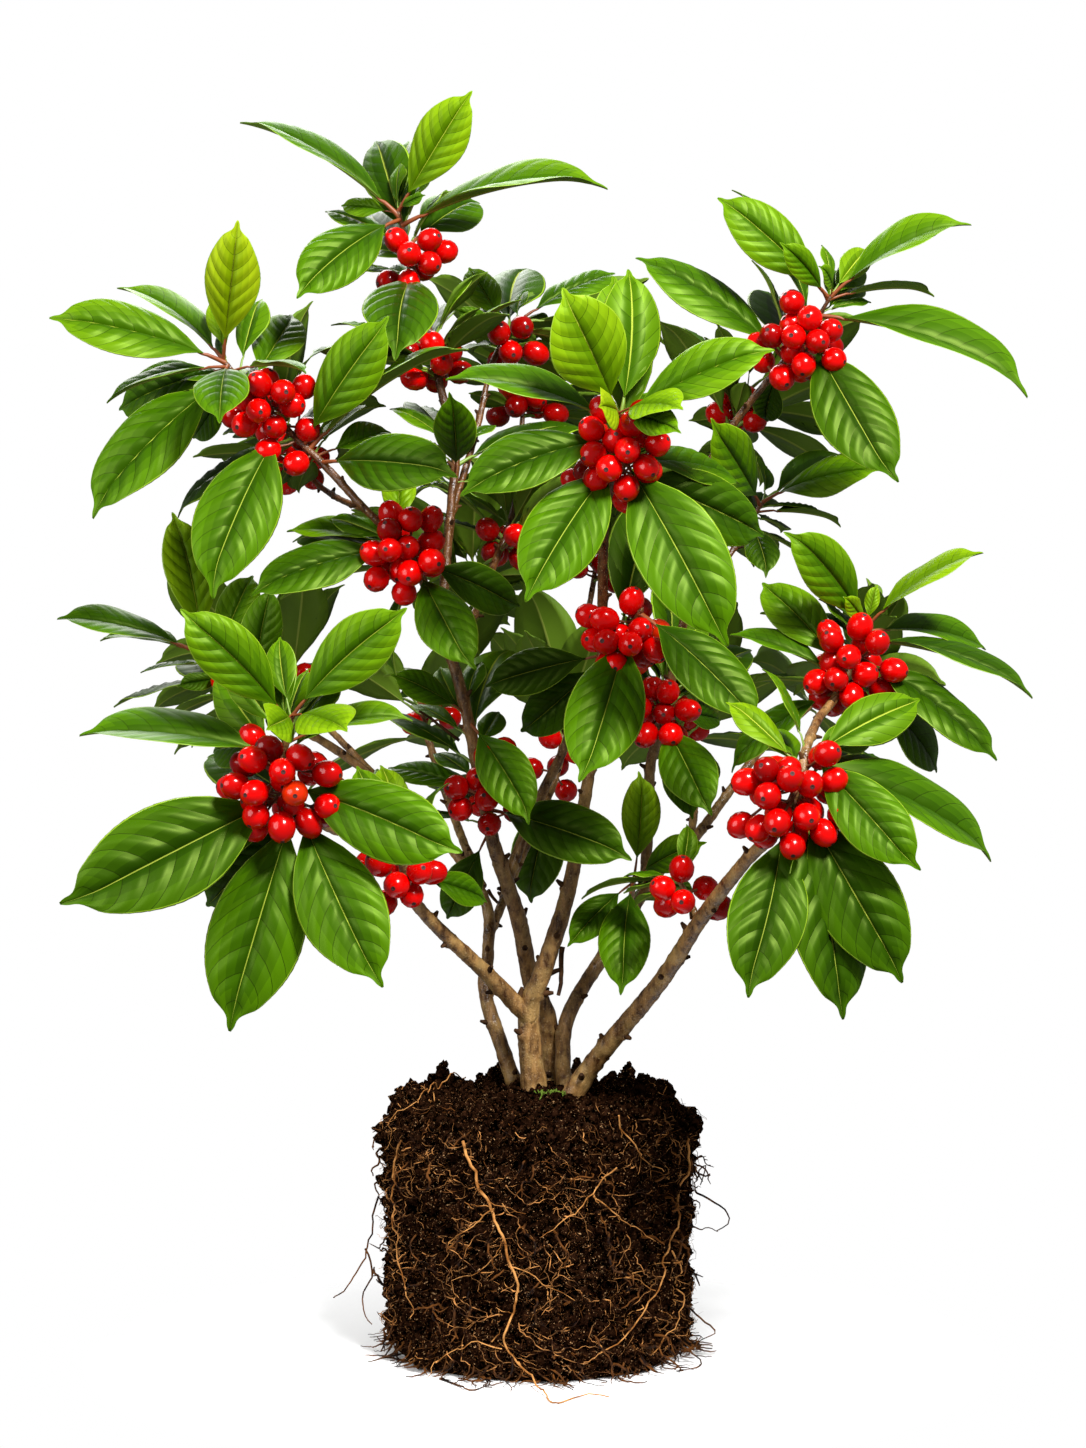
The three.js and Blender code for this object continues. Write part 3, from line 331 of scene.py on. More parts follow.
        Shoot("back_middle_left_foliage", (5, 6), berries=3, cluster=7, grown=9, all_round=True),
    )),
    Branch("back_centre_bough", "left_back_stem", (
        (-24, 197, 27, 2.5), (-8.6, 234.7, 62, 2.3), (8.2, 274, 98, 2.1), (13, 300, 114, 1.9),
        (20.2, 338, 122, 1.8), (26, 364.3, 125, 1.6), (29.8, 393.1, 128, 0.9),
    ), (
        Shoot("back_low_centre_foliage", (2, 3), berries=3, cluster=8, grown=7, all_round=True, leaves=(
            (0.05, -14, -62, -16),
        )),
        Shoot("back_centre_foliage", (5, 6), berries=3, cluster=9, grown=9, all_round=True),
    )),
    Branch("back_right_bough", "right_back_stem", (
        (73, 243, 46, 2.2), (75, 264, 80, 2), (69, 287.5, 106, 1.9), (59, 322, 124, 0.9),
    ), (
        Shoot("back_lower_right_foliage", (2, 3), berries=3, cluster=8, grown=8, all_round=True),
    )),
    Branch("back_top_bough", "centre_stem", (
        (-42, 334, -17, 2.1), (-29, 356, 14, 2), (-20.6, 378, 45, 1.9), (-12.4, 400.3, 62, 1.7),
        (-8.6, 426.7, 78, 1.6), (-7.6, 445.9, 88, 1.4), (-6.2, 470, 92, 0.9),
    ), (
        Shoot("back_upper_middle_foliage", (2, 3), berries=4, cluster=7, grown=5, all_round=True),
        Shoot("back_top_foliage", (5, 6), berries=3, cluster=9, grown=8, all_round=True),
    )),
    Branch("back_upper_right_bough", "upper_right_bough", (
        (74.9, 393.1, -3, 1.8), (82, 417.1, 32, 1.7), (92, 438.7, 60, 1.5), (101, 462.7, 72, 0.9),
    ), (
        Shoot("back_upper_right_foliage", (2, 3), berries=3, cluster=8, grown=8, all_round=True),
    )),
    Branch("back_left_side_bough", "left_back_stem", (
        (-68.6, 265, 45, 2), (-95, 292.3, 72, 1.8), (-114.2, 311.5, 90, 1.7), (-135.8, 335.5, 98, 0.9),
    ), (
        Shoot("back_left_foliage", (2, 3), berries=3, cluster=8, grown=8, all_round=True),
    )),
    Branch("back_upper_left_bough", "left_bough", (
        (-83, 403, -52, 1.6), (-97, 409, -14, 1.5), (-109.4, 419, 24, 1.4), (-124, 441, 44, 0.9),
    ), (
        Shoot("back_upper_left_foliage", (2, 3), berries=3, cluster=9, grown=8, all_round=True),
    )),
)


def seen(x, z, depth):
    """Carries a place on the measuring plane along the line of sight to a depth."""
    share = (EYE_DISTANCE + depth) / EYE_DISTANCE
    return np.array((EYE_X + (x - EYE_X) * share, depth, EYE_Z + (z - EYE_Z) * share))


def on_plane(place):
    """Where a place is seen on the measuring plane."""
    share = EYE_DISTANCE / (EYE_DISTANCE + place[1])
    return EYE_X + (place[0] - EYE_X) * share, EYE_Z + (place[2] - EYE_Z) * share


def random_from(seed):
    """Repeatable random numbers from 0 to 1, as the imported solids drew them."""
    state = (seed * 7919 + 17) % 2147483647
    while True:
        state = state * 48271 % 2147483647
        yield state / 2147483647


def unit(vector):
    return vector / math.sqrt(vector @ vector)


def mix(low, high, share):
    return low + (high - low) * share


def turned(vector, axis, degrees):
    """A vector turned about a unit axis."""
    angle = math.radians(degrees)
    across = np.cross(axis, vector)
    along = axis * (axis @ vector)
    return vector * math.cos(angle) + across * math.sin(angle) + along * (1 - math.cos(angle))


def curve_place(around, t):
    """A place on the smooth curve from the second to the third of four points."""
    before, here, after, beyond = around
    leaving = (after - before) / 2
    arriving = (beyond - here) / 2
    square = -3 * here + 3 * after - 2 * leaving - arriving
    cube = 2 * here - 2 * after + leaving + arriving
    return here + leaving * t + square * t * t + cube * t * t * t


class Line:
    """The smooth line of a branch. Its places are numbered like the points of its route."""

    def __init__(self, route):
        self.radii = [radius for _, _, _, radius in route]
        self.last = len(route) - 1
        points = [seen(x, z, depth) for x, z, depth, _ in route]
        self.points = [2 * points[0] - points[1], *points, 2 * points[-1] - points[-2]]

    def point(self, place):
        index = min(int(place), self.last - 1)
        return curve_place(self.points[index:index + 4], place - index)

    def direction(self, place):
        step = 0.05
        return unit(self.point(min(place + step, self.last)) - self.point(max(place - step, 0)))

    def radius(self, place):
        index = min(int(place), self.last - 1)
        return mix(self.radii[index], self.radii[index + 1], place - index)


Leaf = namedtuple("Leaf", "foot chord normal side length stalk width")


def leaf_at(foot, tip, facing, turn=0.0):
    """The frame of a leaf from its foot to its tip, with its upper side turned to a facing."""
    chord = tip - foot
    length = math.sqrt(chord @ chord)
    direction = chord / length
    normal = unit(facing - direction * (facing @ direction))
    normal = turned(normal, direction, turn)
    stalk = min(LEAF_STALK, length * LEAF_STALK_SHARE)
    width = (length - stalk) * LEAF_WIDTH_SHARE
    return Leaf(foot, chord, normal, np.cross(direction, normal), length, stalk, width)


def on_leaf(leaf, share, across):
    """Places on a leaf, by shares of its length and of its half width."""
    arch = LEAF_ARCH_SHARE * leaf.length * 4 * share * (1 - share)
    rows = (share, leaf.chord), (arch, leaf.normal), (across * leaf.width / 2, leaf.side)
    return leaf.foot + sum(np.multiply.outer(*row) for row in rows)


def blade_share(share):
    """Half width of the blade over its widest half width, at a share of the blade's length."""
    inside = min(max(share, 0.0), 1.0)
    return max(math.sin(math.pi * inside ** BLADE_LEAN), 0.0) ** BLADE_FULLNESS


def leaf_probes(leaf):
    """Points spread over a leaf, by which it keeps off what is already in place."""
    step = 5.0
    start = leaf.stalk / leaf.length
    rows = math.ceil(leaf.length / step)
    marks = []
    for row in range(1, rows + 1):
        share = row / rows
        half = blade_share((share - start) / (1 - start))
        columns = math.ceil(half * leaf.width / 2 / step)
        for column in range(-columns, columns + 1):
            marks.append((share, half * column / columns if columns else 0.0))
    shares, across = np.array(marks).T
    return list(zip(on_leaf(leaf, shares, across).tolist(), shares.tolist()))


class Grid:
    """What is already in place, as points with a reach of their own."""

    CELL = 12.0

    def __init__(self):
        self.cells = {}

    def cell_of(self, place):
        return tuple(int(value // self.CELL) for value in place)

    def occupy(self, place, reach, owner, kind):
        x, y, z = place
        self.cells.setdefault(self.cell_of(place), []).append((x, y, z, reach, owner, kind))

    def is_near(self, place, extra, least):
        """Whether a place is too near to anything, by a least distance for each kind of thing."""
        x, y, z = place
        i, j, k = self.cell_of(place)
        for cell in product((i - 1, i, i + 1), (j - 1, j, j + 1), (k - 1, k, k + 1)):
            for other_x, other_y, other_z, reach, owner, kind in self.cells.get(cell, ()):
                distance = least(owner, kind)
                if distance is None:
                    continue
                near = reach + extra + distance
                away = (x - other_x) ** 2 + (y - other_y) ** 2 + (z - other_z) ** 2
                if near > 0 and away < near * near:
                    return True
        return False


def leaves_crown(place):
    """Whether a place is outside the crown's room, or where sky shows between the shoots."""
    if place[2] < CROWN_LOW or place[1] > CROWN_BACK or abs(place[0]) > CROWN_SIDE:
        return True
    x, z = on_plane(place)
    return any(left < x < right and low < z < high for left, right, low, high in SKY_WINDOWS)


def leaf_fits(grid, leaf, spray, is_grown, keep_off):
    """Whether a leaf keeps to its room and clear of all that is in place."""
    for place, share in leaf_probes(leaf):

        def least(other, kind, near_root=share < ROOT_SHARE):
            if kind == "wood":
                return None if near_root and other in spray.own_wood else keep_off.wood
            if other != spray.shoot.name:
                return keep_off.leaf
            if near_root or not is_grown:
                return None
            return keep_off.berry if kind == "berry" else keep_off.sibling

        if place[2] < LEAF_LOWEST or is_grown and leaves_crown(place):
            return False
        if grid.is_near(place, 0.0, least):
            return False
    return True


def place_leaf(grid, leaf, owner):
    for place, share in leaf_probes(leaf):
        grid.occupy(place, 0.0, owner, "stalk" if share < ROOT_SHARE else "leaf")


def seen_leaves(shoot, line):
    """The leaves of a shoot that show from the front, with the place where each one grows."""
    leaves = []
    for along, right, up, forward, *own in shoot.leaves:
        foot = line.point(mix(*shoot.span, along))
        foot_x, foot_z = on_plane(foot)
        tip = seen(foot_x + right, foot_z + up, foot[1] - forward)
        angle, broad, shade = (*own, *(0.0, 1.0, None)[len(own):])
        leaf = leaf_at(foot, tip, np.array(TO_VIEWER), -angle if right > 0 else angle)
        leaves.append((along, leaf, "seen", angle, broad, shade))
    return leaves


def cross_axes(direction):
    """Two directions across a direction and across each other."""
    steep = 0.9
    reference = np.array((1.0, 0.0, 0.0) if abs(direction[2]) > steep else (0.0, 0.0, 1.0))
    first = unit(np.cross(reference, direction))
    return first, np.cross(direction, first)


def grown_leaf(shoot, line, index, draw, lengths):
    """A leaf whose foot climbs the shoot while its side turns by the golden angle."""
    along = mix(*GROWN_STRETCH, next(draw))
    place = mix(*shoot.span, along)
    foot = line.point(place)
    stem = line.direction(place)
    sideways, across = cross_axes(stem)
    angle = index * GOLDEN_ANGLE + next(draw) * ANGLE_SPREAD
    opening = math.radians(OPEN_AT_FOOT - CLOSING * along + OPEN_SPREAD * (next(draw) - 0.5))
    around = sideways * math.cos(angle) + across * math.sin(angle)
    direction = stem * math.cos(opening) + around * math.sin(opening)
    direction[2] -= DROOP
    tip = foot + unit(direction) * mix(*lengths, next(draw))
    facing = np.array((foot[0] * OUTWARD[0], foot[1] * OUTWARD[1], OUTWARD[2]))
    return along, leaf_at(foot, tip, facing, TURN_SPREAD * (next(draw) - 0.5))


def has_room(grid, spray, centre, keep_off):
    """Whether a berry of a spray has room at a place."""

    def least(other, kind):
        own, others = keep_off[kind]
        is_own = other in spray.own_wood if kind == "wood" else other == spray.shoot.name
        return own if is_own else others

    return not grid.is_near(centre.tolist(), BERRY_RADIUS, least)


def hang_berry(grid, spray, foot, centre):
    spray.berries.append((foot, centre))
    grid.occupy(centre.tolist(), BERRY_RADIUS, spray.shoot.name, "berry")


def shoot_berries(grid, spray, draw):
    """Berries round the stem on short stalks, each clear of the leaves and of the others."""
    shoot, line = spray.shoot, spray.line
    for _ in range(BERRY_TRIES * shoot.berries):
        if len(spray.berries) >= shoot.berries:
            break
        place = mix(*shoot.span, mix(*BERRY_STRETCH, next(draw)))
        foot = line.point(place)
        stem = line.direction(place)
        sideways, across = cross_axes(stem)
        angle = 2 * math.pi * next(draw)
        away = mix(BERRY_NEAREST, BERRY_FURTHEST, next(draw) ** BERRY_GATHERING)
        centre = foot + sideways * (away * math.cos(angle)) + across * (away * math.sin(angle))
        centre = centre + stem * mix(*BERRY_DRIFT, next(draw))
        if has_room(grid, spray, centre, BERRY_KEEP_OFF):
            hang_berry(grid, spray, foot, centre)


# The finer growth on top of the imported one

FINER_KEEP_OFF = KeepOff(leaf=3.5, wood=2.0, berry=2.0, sibling=2.0)
FINER_BERRY_KEEP_OFF = {
    "stalk": (-6.0, 0.0), "berry": (-1.3, 0.2), "wood": (-1.5, 0.5), "leaf": (-4.0, 0.0),
}
CLUSTER_PACKING = 0.4  # share of a full cluster's ball that its berries fill
SEEN_PACKING = 0.22  # the same where only the front of the ball is filled
CLUSTER_FORWARD = 5.0  # how far the middle of a seen cluster lies before its stem
CLUSTER_TRIES = 400
CLUSTER_STRETCH = (0.25, 0.7)  # part of the shoot that a full cluster's stalks grow from
CLUSTER_SPREAD = 0.4  # under 1 most berries sit near the outside of their ball
CLUSTER_DEPTH = 6.0  # how far back a berry may come before one in front of it
LEAF_GROWTH = {  # shortest and longest leaf, tries for each, and how far it keeps off
    "grown": ((58.0, 84.0), 26, KEEP_OFF),
    "finer": ((26.0, 52.0), 14, FINER_KEEP_OFF),
}
WOOD_MARKS = 12  # marks for the wood, from one point of a branch's route to the next
LEFT_OF = -52.0  # a shoot that ends further left than this has its leaves in the left piece
RIGHT_OF = 60.0

Spray = namedtuple("Spray", "shoot line own_wood leaves berries")


def fill_cluster(grid, spray, draw):
    """Rounds a spray's berries off into a ball. A seen cluster fills up from its front."""
    shoot, line = spray.shoot, spray.line
    middle = line.point(mix(*shoot.span, shoot.heart))
    if not shoot.all_round:
        middle = middle - np.array((0.0, CLUSTER_FORWARD, 0.0))
    packing = CLUSTER_PACKING if shoot.all_round else SEEN_PACKING
    reach = BERRY_RADIUS * ((shoot.cluster / packing) ** (1 / 3) - 1)
    places = []
    for _ in range(CLUSTER_TRIES):
        level = mix(-1.0, 1.0, next(draw))
        angle = 2 * math.pi * next(draw)
        flat = math.sqrt(1 - level * level)
        out = np.array((flat * math.cos(angle), flat * math.sin(angle), level))
        place = middle + out * (reach * next(draw) ** CLUSTER_SPREAD)
        if shoot.all_round or place[1] < middle[1] + BERRY_RADIUS:
            places.append(place)
    if not shoot.all_round:
        places.sort(key=lambda place: place[1] + CLUSTER_DEPTH * next(draw))
    for centre in places:
        if len(spray.berries) >= shoot.cluster:
            break
        if has_room(grid, spray, centre, FINER_BERRY_KEEP_OFF):
            foot = line.point(mix(*shoot.span, mix(*CLUSTER_STRETCH, next(draw))))
            hang_berry(grid, spray, foot, centre)


@lru_cache(maxsize=1)
def grown_crown(finer, finer_all_round):
    """All sprays of the crown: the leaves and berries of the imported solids, then the finer ones.

    A spray's leaves are (place along the shoot, leaf, kind, turn, broadness, green), and their
    kind is seen, grown or finer.
    """
    lines = {branch.name: Line(branch.route) for branch in BRANCHES}
    grid = Grid()
    for branch in BRANCHES:
        line = lines[branch.name]
        for i in range(line.last * WOOD_MARKS + 1):
            place = i / WOOD_MARKS
            grid.occupy(line.point(place).tolist(), line.radius(place), branch.name, "wood")
    sprays = [
        Spray(shoot, lines[branch.name], (branch.name, branch.fork), [], [])
        for branch in BRANCHES
        for shoot in branch.shoots
    ]
    for spray in sprays:
        for one in seen_leaves(spray.shoot, spray.line):
            if leaf_fits(grid, one[1], spray, False, KEEP_OFF):
                place_leaf(grid, one[1], spray.shoot.name)
                spray.leaves.append(one)
    for index, spray in enumerate(sprays):
        shoot_berries(grid, spray, random_from(index + 1))
    for index, spray in enumerate(sprays):
        grow_leaves(grid, spray, random_from(index + 101), spray.shoot.grown, "grown")
    for index, spray in enumerate(sprays):
        fill_cluster(grid, spray, random_from(index + 201))
    for index, spray in enumerate(sprays):
        wanted = finer_all_round if spray.shoot.all_round else finer
        grow_leaves(grid, spray, random_from(index + 301), wanted, "finer")
    return lines, sprays


def grow_leaves(grid, spray, draw, wanted, kind):
    """Adds leaves to a spray by the rule, until as many as are wanted fit."""
    shoot, line = spray.shoot, spray.line
    lengths, tries, keep_off = LEAF_GROWTH[kind]
    added = 0
    for i in range(tries * wanted):
        if added >= wanted:
            break
        along, leaf = grown_leaf(shoot, line, i, draw, lengths)
        turns_away = shoot.all_round or leaf.chord[1] > BACKWARD * leaf.length
        if turns_away and leaf_fits(grid, leaf, spray, True, keep_off):
            place_leaf(grid, leaf, shoot.name)
            spray.leaves.append((along, leaf, kind, 0.0, 1.0, None))
            added += 1


def crown_of(context):
    """The lines of the branches and the sprays, for the settings of the leaves."""
    settings = context.scene.bush_leaves
    return grown_crown(settings.finer, settings.finer_all_round)


def leaf_groups(sprays):
    """The sprays by the side of the bush that they are on, a piece of leaves for each."""
    groups = {"left": [], "centre": [], "right": [], "back": []}
    for spray in sprays:
        x = spray.line.point(spray.shoot.span[1])[0]
        side = "left" if x < LEFT_OF else "right" if x > RIGHT_OF else "centre"
        groups["back" if spray.shoot.all_round else side].append(spray)
    return groups


# Colours and materials

# A noise's size is in millimetres, and an upright share under 1 draws it out upwards. A share maps
# a stretch of a noise, of the height or of an earlier share on to another stretch, whose end may be
# an earlier share too. A colour goes from one colour to another by a share.
Noise = namedtuple("Noise", "name size detail grit upright", defaults=(0.55, 1.0))
Share = namedtuple("Share", "name pattern start end least most", defaults=(0.0, 1.0))
Colour = namedtuple("Colour", "name under over share")
Bump = namedtuple("Bump", "patterns strength depth")


def linear(hex_colour):
    """A screen colour such as #3a6b10 as linear red, green, blue and alpha."""
    channels = [int(hex_colour[i:i + 2], 16) / 255 for i in (1, 3, 5)]
    straight = [c / 12.92 if c <= 0.04045 else ((c + 0.055) / 1.055) ** 2.4 for c in channels]
    return (*straight, 1.0)


def mixed_hex(low, high, share):
    """A screen colour between two others."""
    pairs = [(int(low[i:i + 2], 16), int(high[i:i + 2], 16)) for i in (1, 3, 5)]
    return "#" + "".join(f"{round(mix(a, b, share)):02x}" for a, b in pairs)


def add_node(tree, kind, values=None, **settings):
    """Adds a node, with its settings, and with input values or links by input name or number."""
    node = tree.nodes.new(kind)
    for name, value in settings.items():
        setattr(node, name, value)
    for name, value in (values or {}).items():
        if isinstance(value, bpy.types.NodeSocket):
            tree.links.new(value, node.inputs[name])
        else:
            node.inputs[name].default_value = value
    return node


def plain_material(name, colour, roughness, **values):
    """A material of one colour, with further shader inputs by name."""
    material = bpy.data.materials.new(name)
    material.use_nodes = True
    shader = material.node_tree.nodes["Principled BSDF"]
    shader.inputs["Base Color"].default_value = linear(colour)
    shader.inputs["Roughness"].default_value = roughness
    for socket, value in values.items():
        shader.inputs[socket.replace("_", " ")].default_value = value
    material.diffuse_color = linear(colour)
    return material


def patterned_material(material, noises, shares, colours, bump=None):
    """Gives a plain material its tables. The last colour shows, and a share may be its roughness."""
    tree = material.node_tree
    shader = tree.nodes["Principled BSDF"]
    place = add_node(tree, "ShaderNodeTexCoord").outputs["Object"]
    made = {"height": add_node(tree, "ShaderNodeSeparateXYZ", {"Vector": place}).outputs["Z"]}
    for name, size, detail, grit, upright in noises:
        drawn = add_node(tree, "ShaderNodeMapping", {"Vector": place, "Scale": (1.0, 1.0, upright)})
        made[name] = add_node(tree, "ShaderNodeTexNoise", {
            "Vector": drawn.outputs[0], "Scale": 1 / (size * MM), "Detail": detail, "Roughness": grit,
        }).outputs["Fac"]
    for name, pattern, start, end, least, most in shares:
        made[name] = add_node(tree, "ShaderNodeMapRange", {
            "Value": made[pattern], "From Min": start, "From Max": end,
            "To Min": least, "To Max": made.get(most, most),
        }).outputs["Result"]
    for name, under, over, share in colours:
        under, over = (made[one] if one in made else linear(one) for one in (under, over))
        mixed = add_node(tree, "ShaderNodeMix", {0: made[share], 6: under, 7: over}, data_type="RGBA")
        made[name] = mixed.outputs[2]
    tree.links.new(mixed.outputs[2], shader.inputs["Base Color"])
    if "roughness" in made:
        tree.links.new(made["roughness"], shader.inputs["Roughness"])
    if bump:
        relief, *others = (made[name] for name in bump.patterns)
        for other in others:
            relief = add_node(tree, "ShaderNodeMath", {0: relief, 1: other}, operation="ADD").outputs[0]
        values = {"Height": relief, "Strength": bump.strength, "Distance": bump.depth * MM}
        raised = add_node(tree, "ShaderNodeBump", values)
        tree.links.new(raised.outputs["Normal"], shader.inputs["Normal"])
    return material


# Meshes


def add_object(name, data):
    """A new object in the scene, for a mesh, a light or a camera."""
    added = bpy.data.objects.new(name, data)
    bpy.context.scene.collection.objects.link(added)
    return added


def add_piece(name, points, loops, sizes, materials, slots=None):
    """A mesh object from points in millimetres, the corners of its faces and the size of each."""
    mesh = bpy.data.meshes.new(name)
    mesh.vertices.add(len(points))
    mesh.vertices.foreach_set("co", (np.asarray(points) * MM).astype(np.float32).ravel())
    mesh.loops.add(len(loops))
    mesh.loops.foreach_set("vertex_index", np.asarray(loops, dtype=np.int32))
    mesh.polygons.add(len(sizes))
    starts = np.concatenate(([0], np.cumsum(sizes)[:-1]))
    mesh.polygons.foreach_set("loop_start", starts.astype(np.int32))
    for material in materials:
        mesh.materials.append(material)
    if slots is not None:
        mesh.polygons.foreach_set("material_index", np.asarray(slots, dtype=np.int32))
    mesh.polygons.foreach_set("use_smooth", np.full(len(sizes), True))
    mesh.update(calc_edges=True)
    mesh.validate()
    return add_object(name, mesh)


def ring_quads(rows, sides):
    """Corners of the faces between rings of points, ring by ring."""
    row, side = np.meshgrid(np.arange(rows - 1), np.arange(sides), indexing="ij")
    nearby = (side + 1) % sides
    here, beyond = row * sides, (row + 1) * sides
    return np.stack((here + side, here + nearby, beyond + nearby, beyond + side), axis=-1).reshape(-1, 4)


def tube_faces(rows, sides):
    """Corners and sizes of the faces of a closed tube of rings, with its two caps last."""
    quads = ring_quads(rows, sides)
    caps = np.arange(sides)[::-1], (rows - 1) * sides + np.arange(sides)
    return np.concatenate((quads.ravel(), *caps)), np.append(np.full(len(quads), 4), (sides, sides))


def hand_over(piece, nodes):
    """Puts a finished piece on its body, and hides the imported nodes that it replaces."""
    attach(piece, "root")
    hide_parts(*nodes)


def geometry_tree(name, **kinds):
    """A node group for a modifier, and its inputs: a geometry, and more by their kinds of socket."""
    tree = bpy.data.node_groups.new(name, "GeometryNodeTree")
    tree.interface.new_socket("Geometry", in_out="OUTPUT", socket_type="NodeSocketGeometry")
    for label, kind in {"Geometry": "Geometry", **kinds}.items():
        tree.interface.new_socket(label, in_out="INPUT", socket_type=f"NodeSocket{kind}")
    return tree, add_node(tree, "NodeGroupInput").outputs


def end_tree(tree, shape, finishes):
    """Makes a tree's shape real and puts it out, with each finish on the faces that it is for."""
    shape = add_node(tree, "GeometryNodeRealizeInstances", {"Geometry": shape}).outputs["Geometry"]
    for finish, selection in finishes:
        values = {"Geometry": shape, "Selection": selection, "Material": finish}
        shape = add_node(tree, "GeometryNodeSetMaterial", values).outputs["Geometry"]
    add_node(tree, "NodeGroupOutput", {"Geometry": shape})
    return tree


def from_nodes(source, tree, name, **values):
    """The plain mesh object that a node group makes of a source object, which is then removed."""
    modifier = source.modifiers.new(tree.name, "NODES")
    modifier.node_group = tree
    for item in tree.interface.items_tree:
        wanted = item.name.lower()
        if item.item_type == "SOCKET" and item.in_out == "INPUT" and wanted in values:
            modifier[item.identifier] = values[wanted]
    depsgraph = bpy.context.evaluated_depsgraph_get()
    mesh = bpy.data.meshes.new_from_object(source.evaluated_get(depsgraph), depsgraph=depsgraph)
    source.modifiers.remove(modifier)
    bpy.data.objects.remove(source)
    if not mesh.polygons:
        raise RuntimeError(f"{name} came out empty")
    return add_object(name, mesh)


# Strands: stalks, spurs and roots are lines of points, each with its own thickness

Strand = namedtuple("Strand", "points radii")


@lru_cache(maxsize=1)
def strand_tree():
    """Gives lines of points their thickness, as round closed tubes."""
    tree, given = geometry_tree("thicken strands", Sides="Int", Thickness="Float", Finish="Material")
    radius = add_node(tree, "GeometryNodeInputNamedAttribute", {"Name": "thickness"}, data_type="FLOAT")
    scaled = add_node(tree, "ShaderNodeMath", {
        0: radius.outputs["Attribute"], 1: given["Thickness"],
    }, operation="MULTIPLY")
    curve = add_node(tree, "GeometryNodeMeshToCurve", {"Mesh": given["Geometry"]})
    ring = add_node(tree, "GeometryNodeCurvePrimitiveCircle", {
        "Resolution": given["Sides"], "Radius": 1.0,
    })
    tube = add_node(tree, "GeometryNodeCurveToMesh", {
        "Curve": curve.outputs["Curve"], "Profile Curve": ring.outputs["Curve"],
        "Scale": scaled.outputs[0], "Fill Caps": True,
    })
    smooth = add_node(tree, "GeometryNodeSetShadeSmooth", {"Geometry": tube.outputs["Mesh"]})
    return end_tree(tree, smooth.outputs["Geometry"], [(given["Finish"], True)])


def strands_piece(name, strands, finish, sides=6, thickness=1.0):
    """One piece of many strands."""
    points = np.concatenate([np.asarray(strand.points) for strand in strands]) * MM
    radii = np.concatenate([np.asarray(strand.radii, dtype=float) for strand in strands]) * MM
    feet = {int(foot) for foot in np.cumsum([len(strand.points) for strand in strands])}
    edges = [(place - 1, place) for place in range(1, len(points)) if place not in feet]
    mesh = bpy.data.meshes.new(name)
    mesh.from_pydata(points.tolist(), edges, [])
    mesh.attributes.new("thickness", "FLOAT", "POINT").data.foreach_set("value", radii.astype(np.float32))
    source = add_object(f"{name} lines", mesh)
    piece = from_nodes(source, strand_tree(), name, sides=sides, thickness=thickness, finish=finish)
    bpy.data.meshes.remove(mesh)
    return piece


# Leaves

# A leaf is one closed shell. Its rows start on the midrib and follow the side veins out and
# forwards to the rim, so each vein is a thin band of its own between two puffed-up fields.
VEINS = 7
VEIN_STRETCH = (0.06, 0.86)  # first and last vein, as shares of the blade
VEIN_HALF = 0.02  # half a vein's width, as a share of the way to the next vein
VEIN_SLANT = 0.17
VEIN_SWEEP = 0.12
FOOT_ROWS = (0.0, 0.008, 0.03)  # rows before the first vein
TIP_ROWS = (0.92, 0.955, 0.98, 1.0)  # rows beyond the last vein
FINE_PHASES = (VEIN_HALF, 0.27, 0.5, 0.73, 1 - VEIN_HALF)
COARSE_PHASES = (VEIN_HALF, 0.5, 1 - VEIN_HALF)
FINE_COLUMNS = (0.013, 0.06, 0.2, 0.42, 0.64, 0.82, 0.965, 1.0)
COARSE_COLUMNS = (0.03, 0.42, 0.94, 1.0)
UNDER_COLUMNS = (-0.6, -0.04, 0.0, 0.04, 0.6)

FINISHED_FULLNESS = 0.72
FINISHED_TAPERS = (1.6, 0.7)  # over 0 the blade draws in towards its foot, and towards its tip
FINISHED_LEAN = 1.08  # over 1 the blade is widest beyond its middle
FINISHED_WIDTH = 0.97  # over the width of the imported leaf
DRIP_TIP = (0.87, 0.965)  # where the blade draws in to its blunt, narrow tip
DRIP_WIDTH = 0.1
BLUNT_END = 0.035  # share of the blade that its tip rounds off over
LEAST_HALVES = (0.03, 0.015)  # least half width towards the tip and the foot, over the widest one
LEAF_SKIN = 0.35  # thickness of the blade
MIDRIB_DEPTH = 1.0  # how far the midrib stands out below
MIDRIB_GROOVE = 0.9  # how deep it lies above
RIM_ROUGHNESS = 0.004  # depth of the rim's fine teeth, as a share of the half width
RIM_FROM = 0.99  # the share of the half width where the teeth begin

CREASE = 0.035  # the midrib's groove reaches this far, as a share of the half width
FIELD_SLOPES = (0.12, 0.2)  # a field rises over these shares of the half width, from rib and rim
RIPPLES = 9.0  # along a leaf, in radians
WAVES = 7.0

LEAF_SEED = 7
STEEP_TURN = 40.0  # a blade turned further than this shows its folded edge

# The fields of a blade grow lighter from its midrib to its rim, with edges between them at these
# shares of its half width
FIELDS = ("inner", "middle", "next", "outer")
FIELD_EDGES = (0.25, 0.5, 0.72)
VEIN_END = 0.9
RIM_BAND = 0.93

# The greens of the upper side from the darkest to the youngest, as (inner field, outer field)
GREENS = (
    ("#142b00", "#284300"), ("#1a3500", "#325301"), ("#234200", "#3f6501"), ("#2e5000", "#527603"),
    ("#466600", "#6c8c06"), ("#617800", "#84980c"), ("#7c8704", "#9a9f16"),
)
LEAF_SHEEN = "#bcdc62"  # the wax over green cells reflects a little yellow-green
YOUNG_BY_RISE = {"seen": 1.7, "grown": 0.95, "finer": 1.2}  # how much younger a rising leaf looks
LEVEL_GREEN = 1.8  # the green of a level leaf beyond the middle of its shoot
# Painted shade: a grown leaf is darker, for its age and for the shade inside the crown, and each millimetre
# further back darkens a leaf more
GROWN_AGE_AND_SHADE = 0.7
PAINTED_BACK_SHADE = 0.006  # for each millimetre further back
GREEN_SPREAD = 1.4

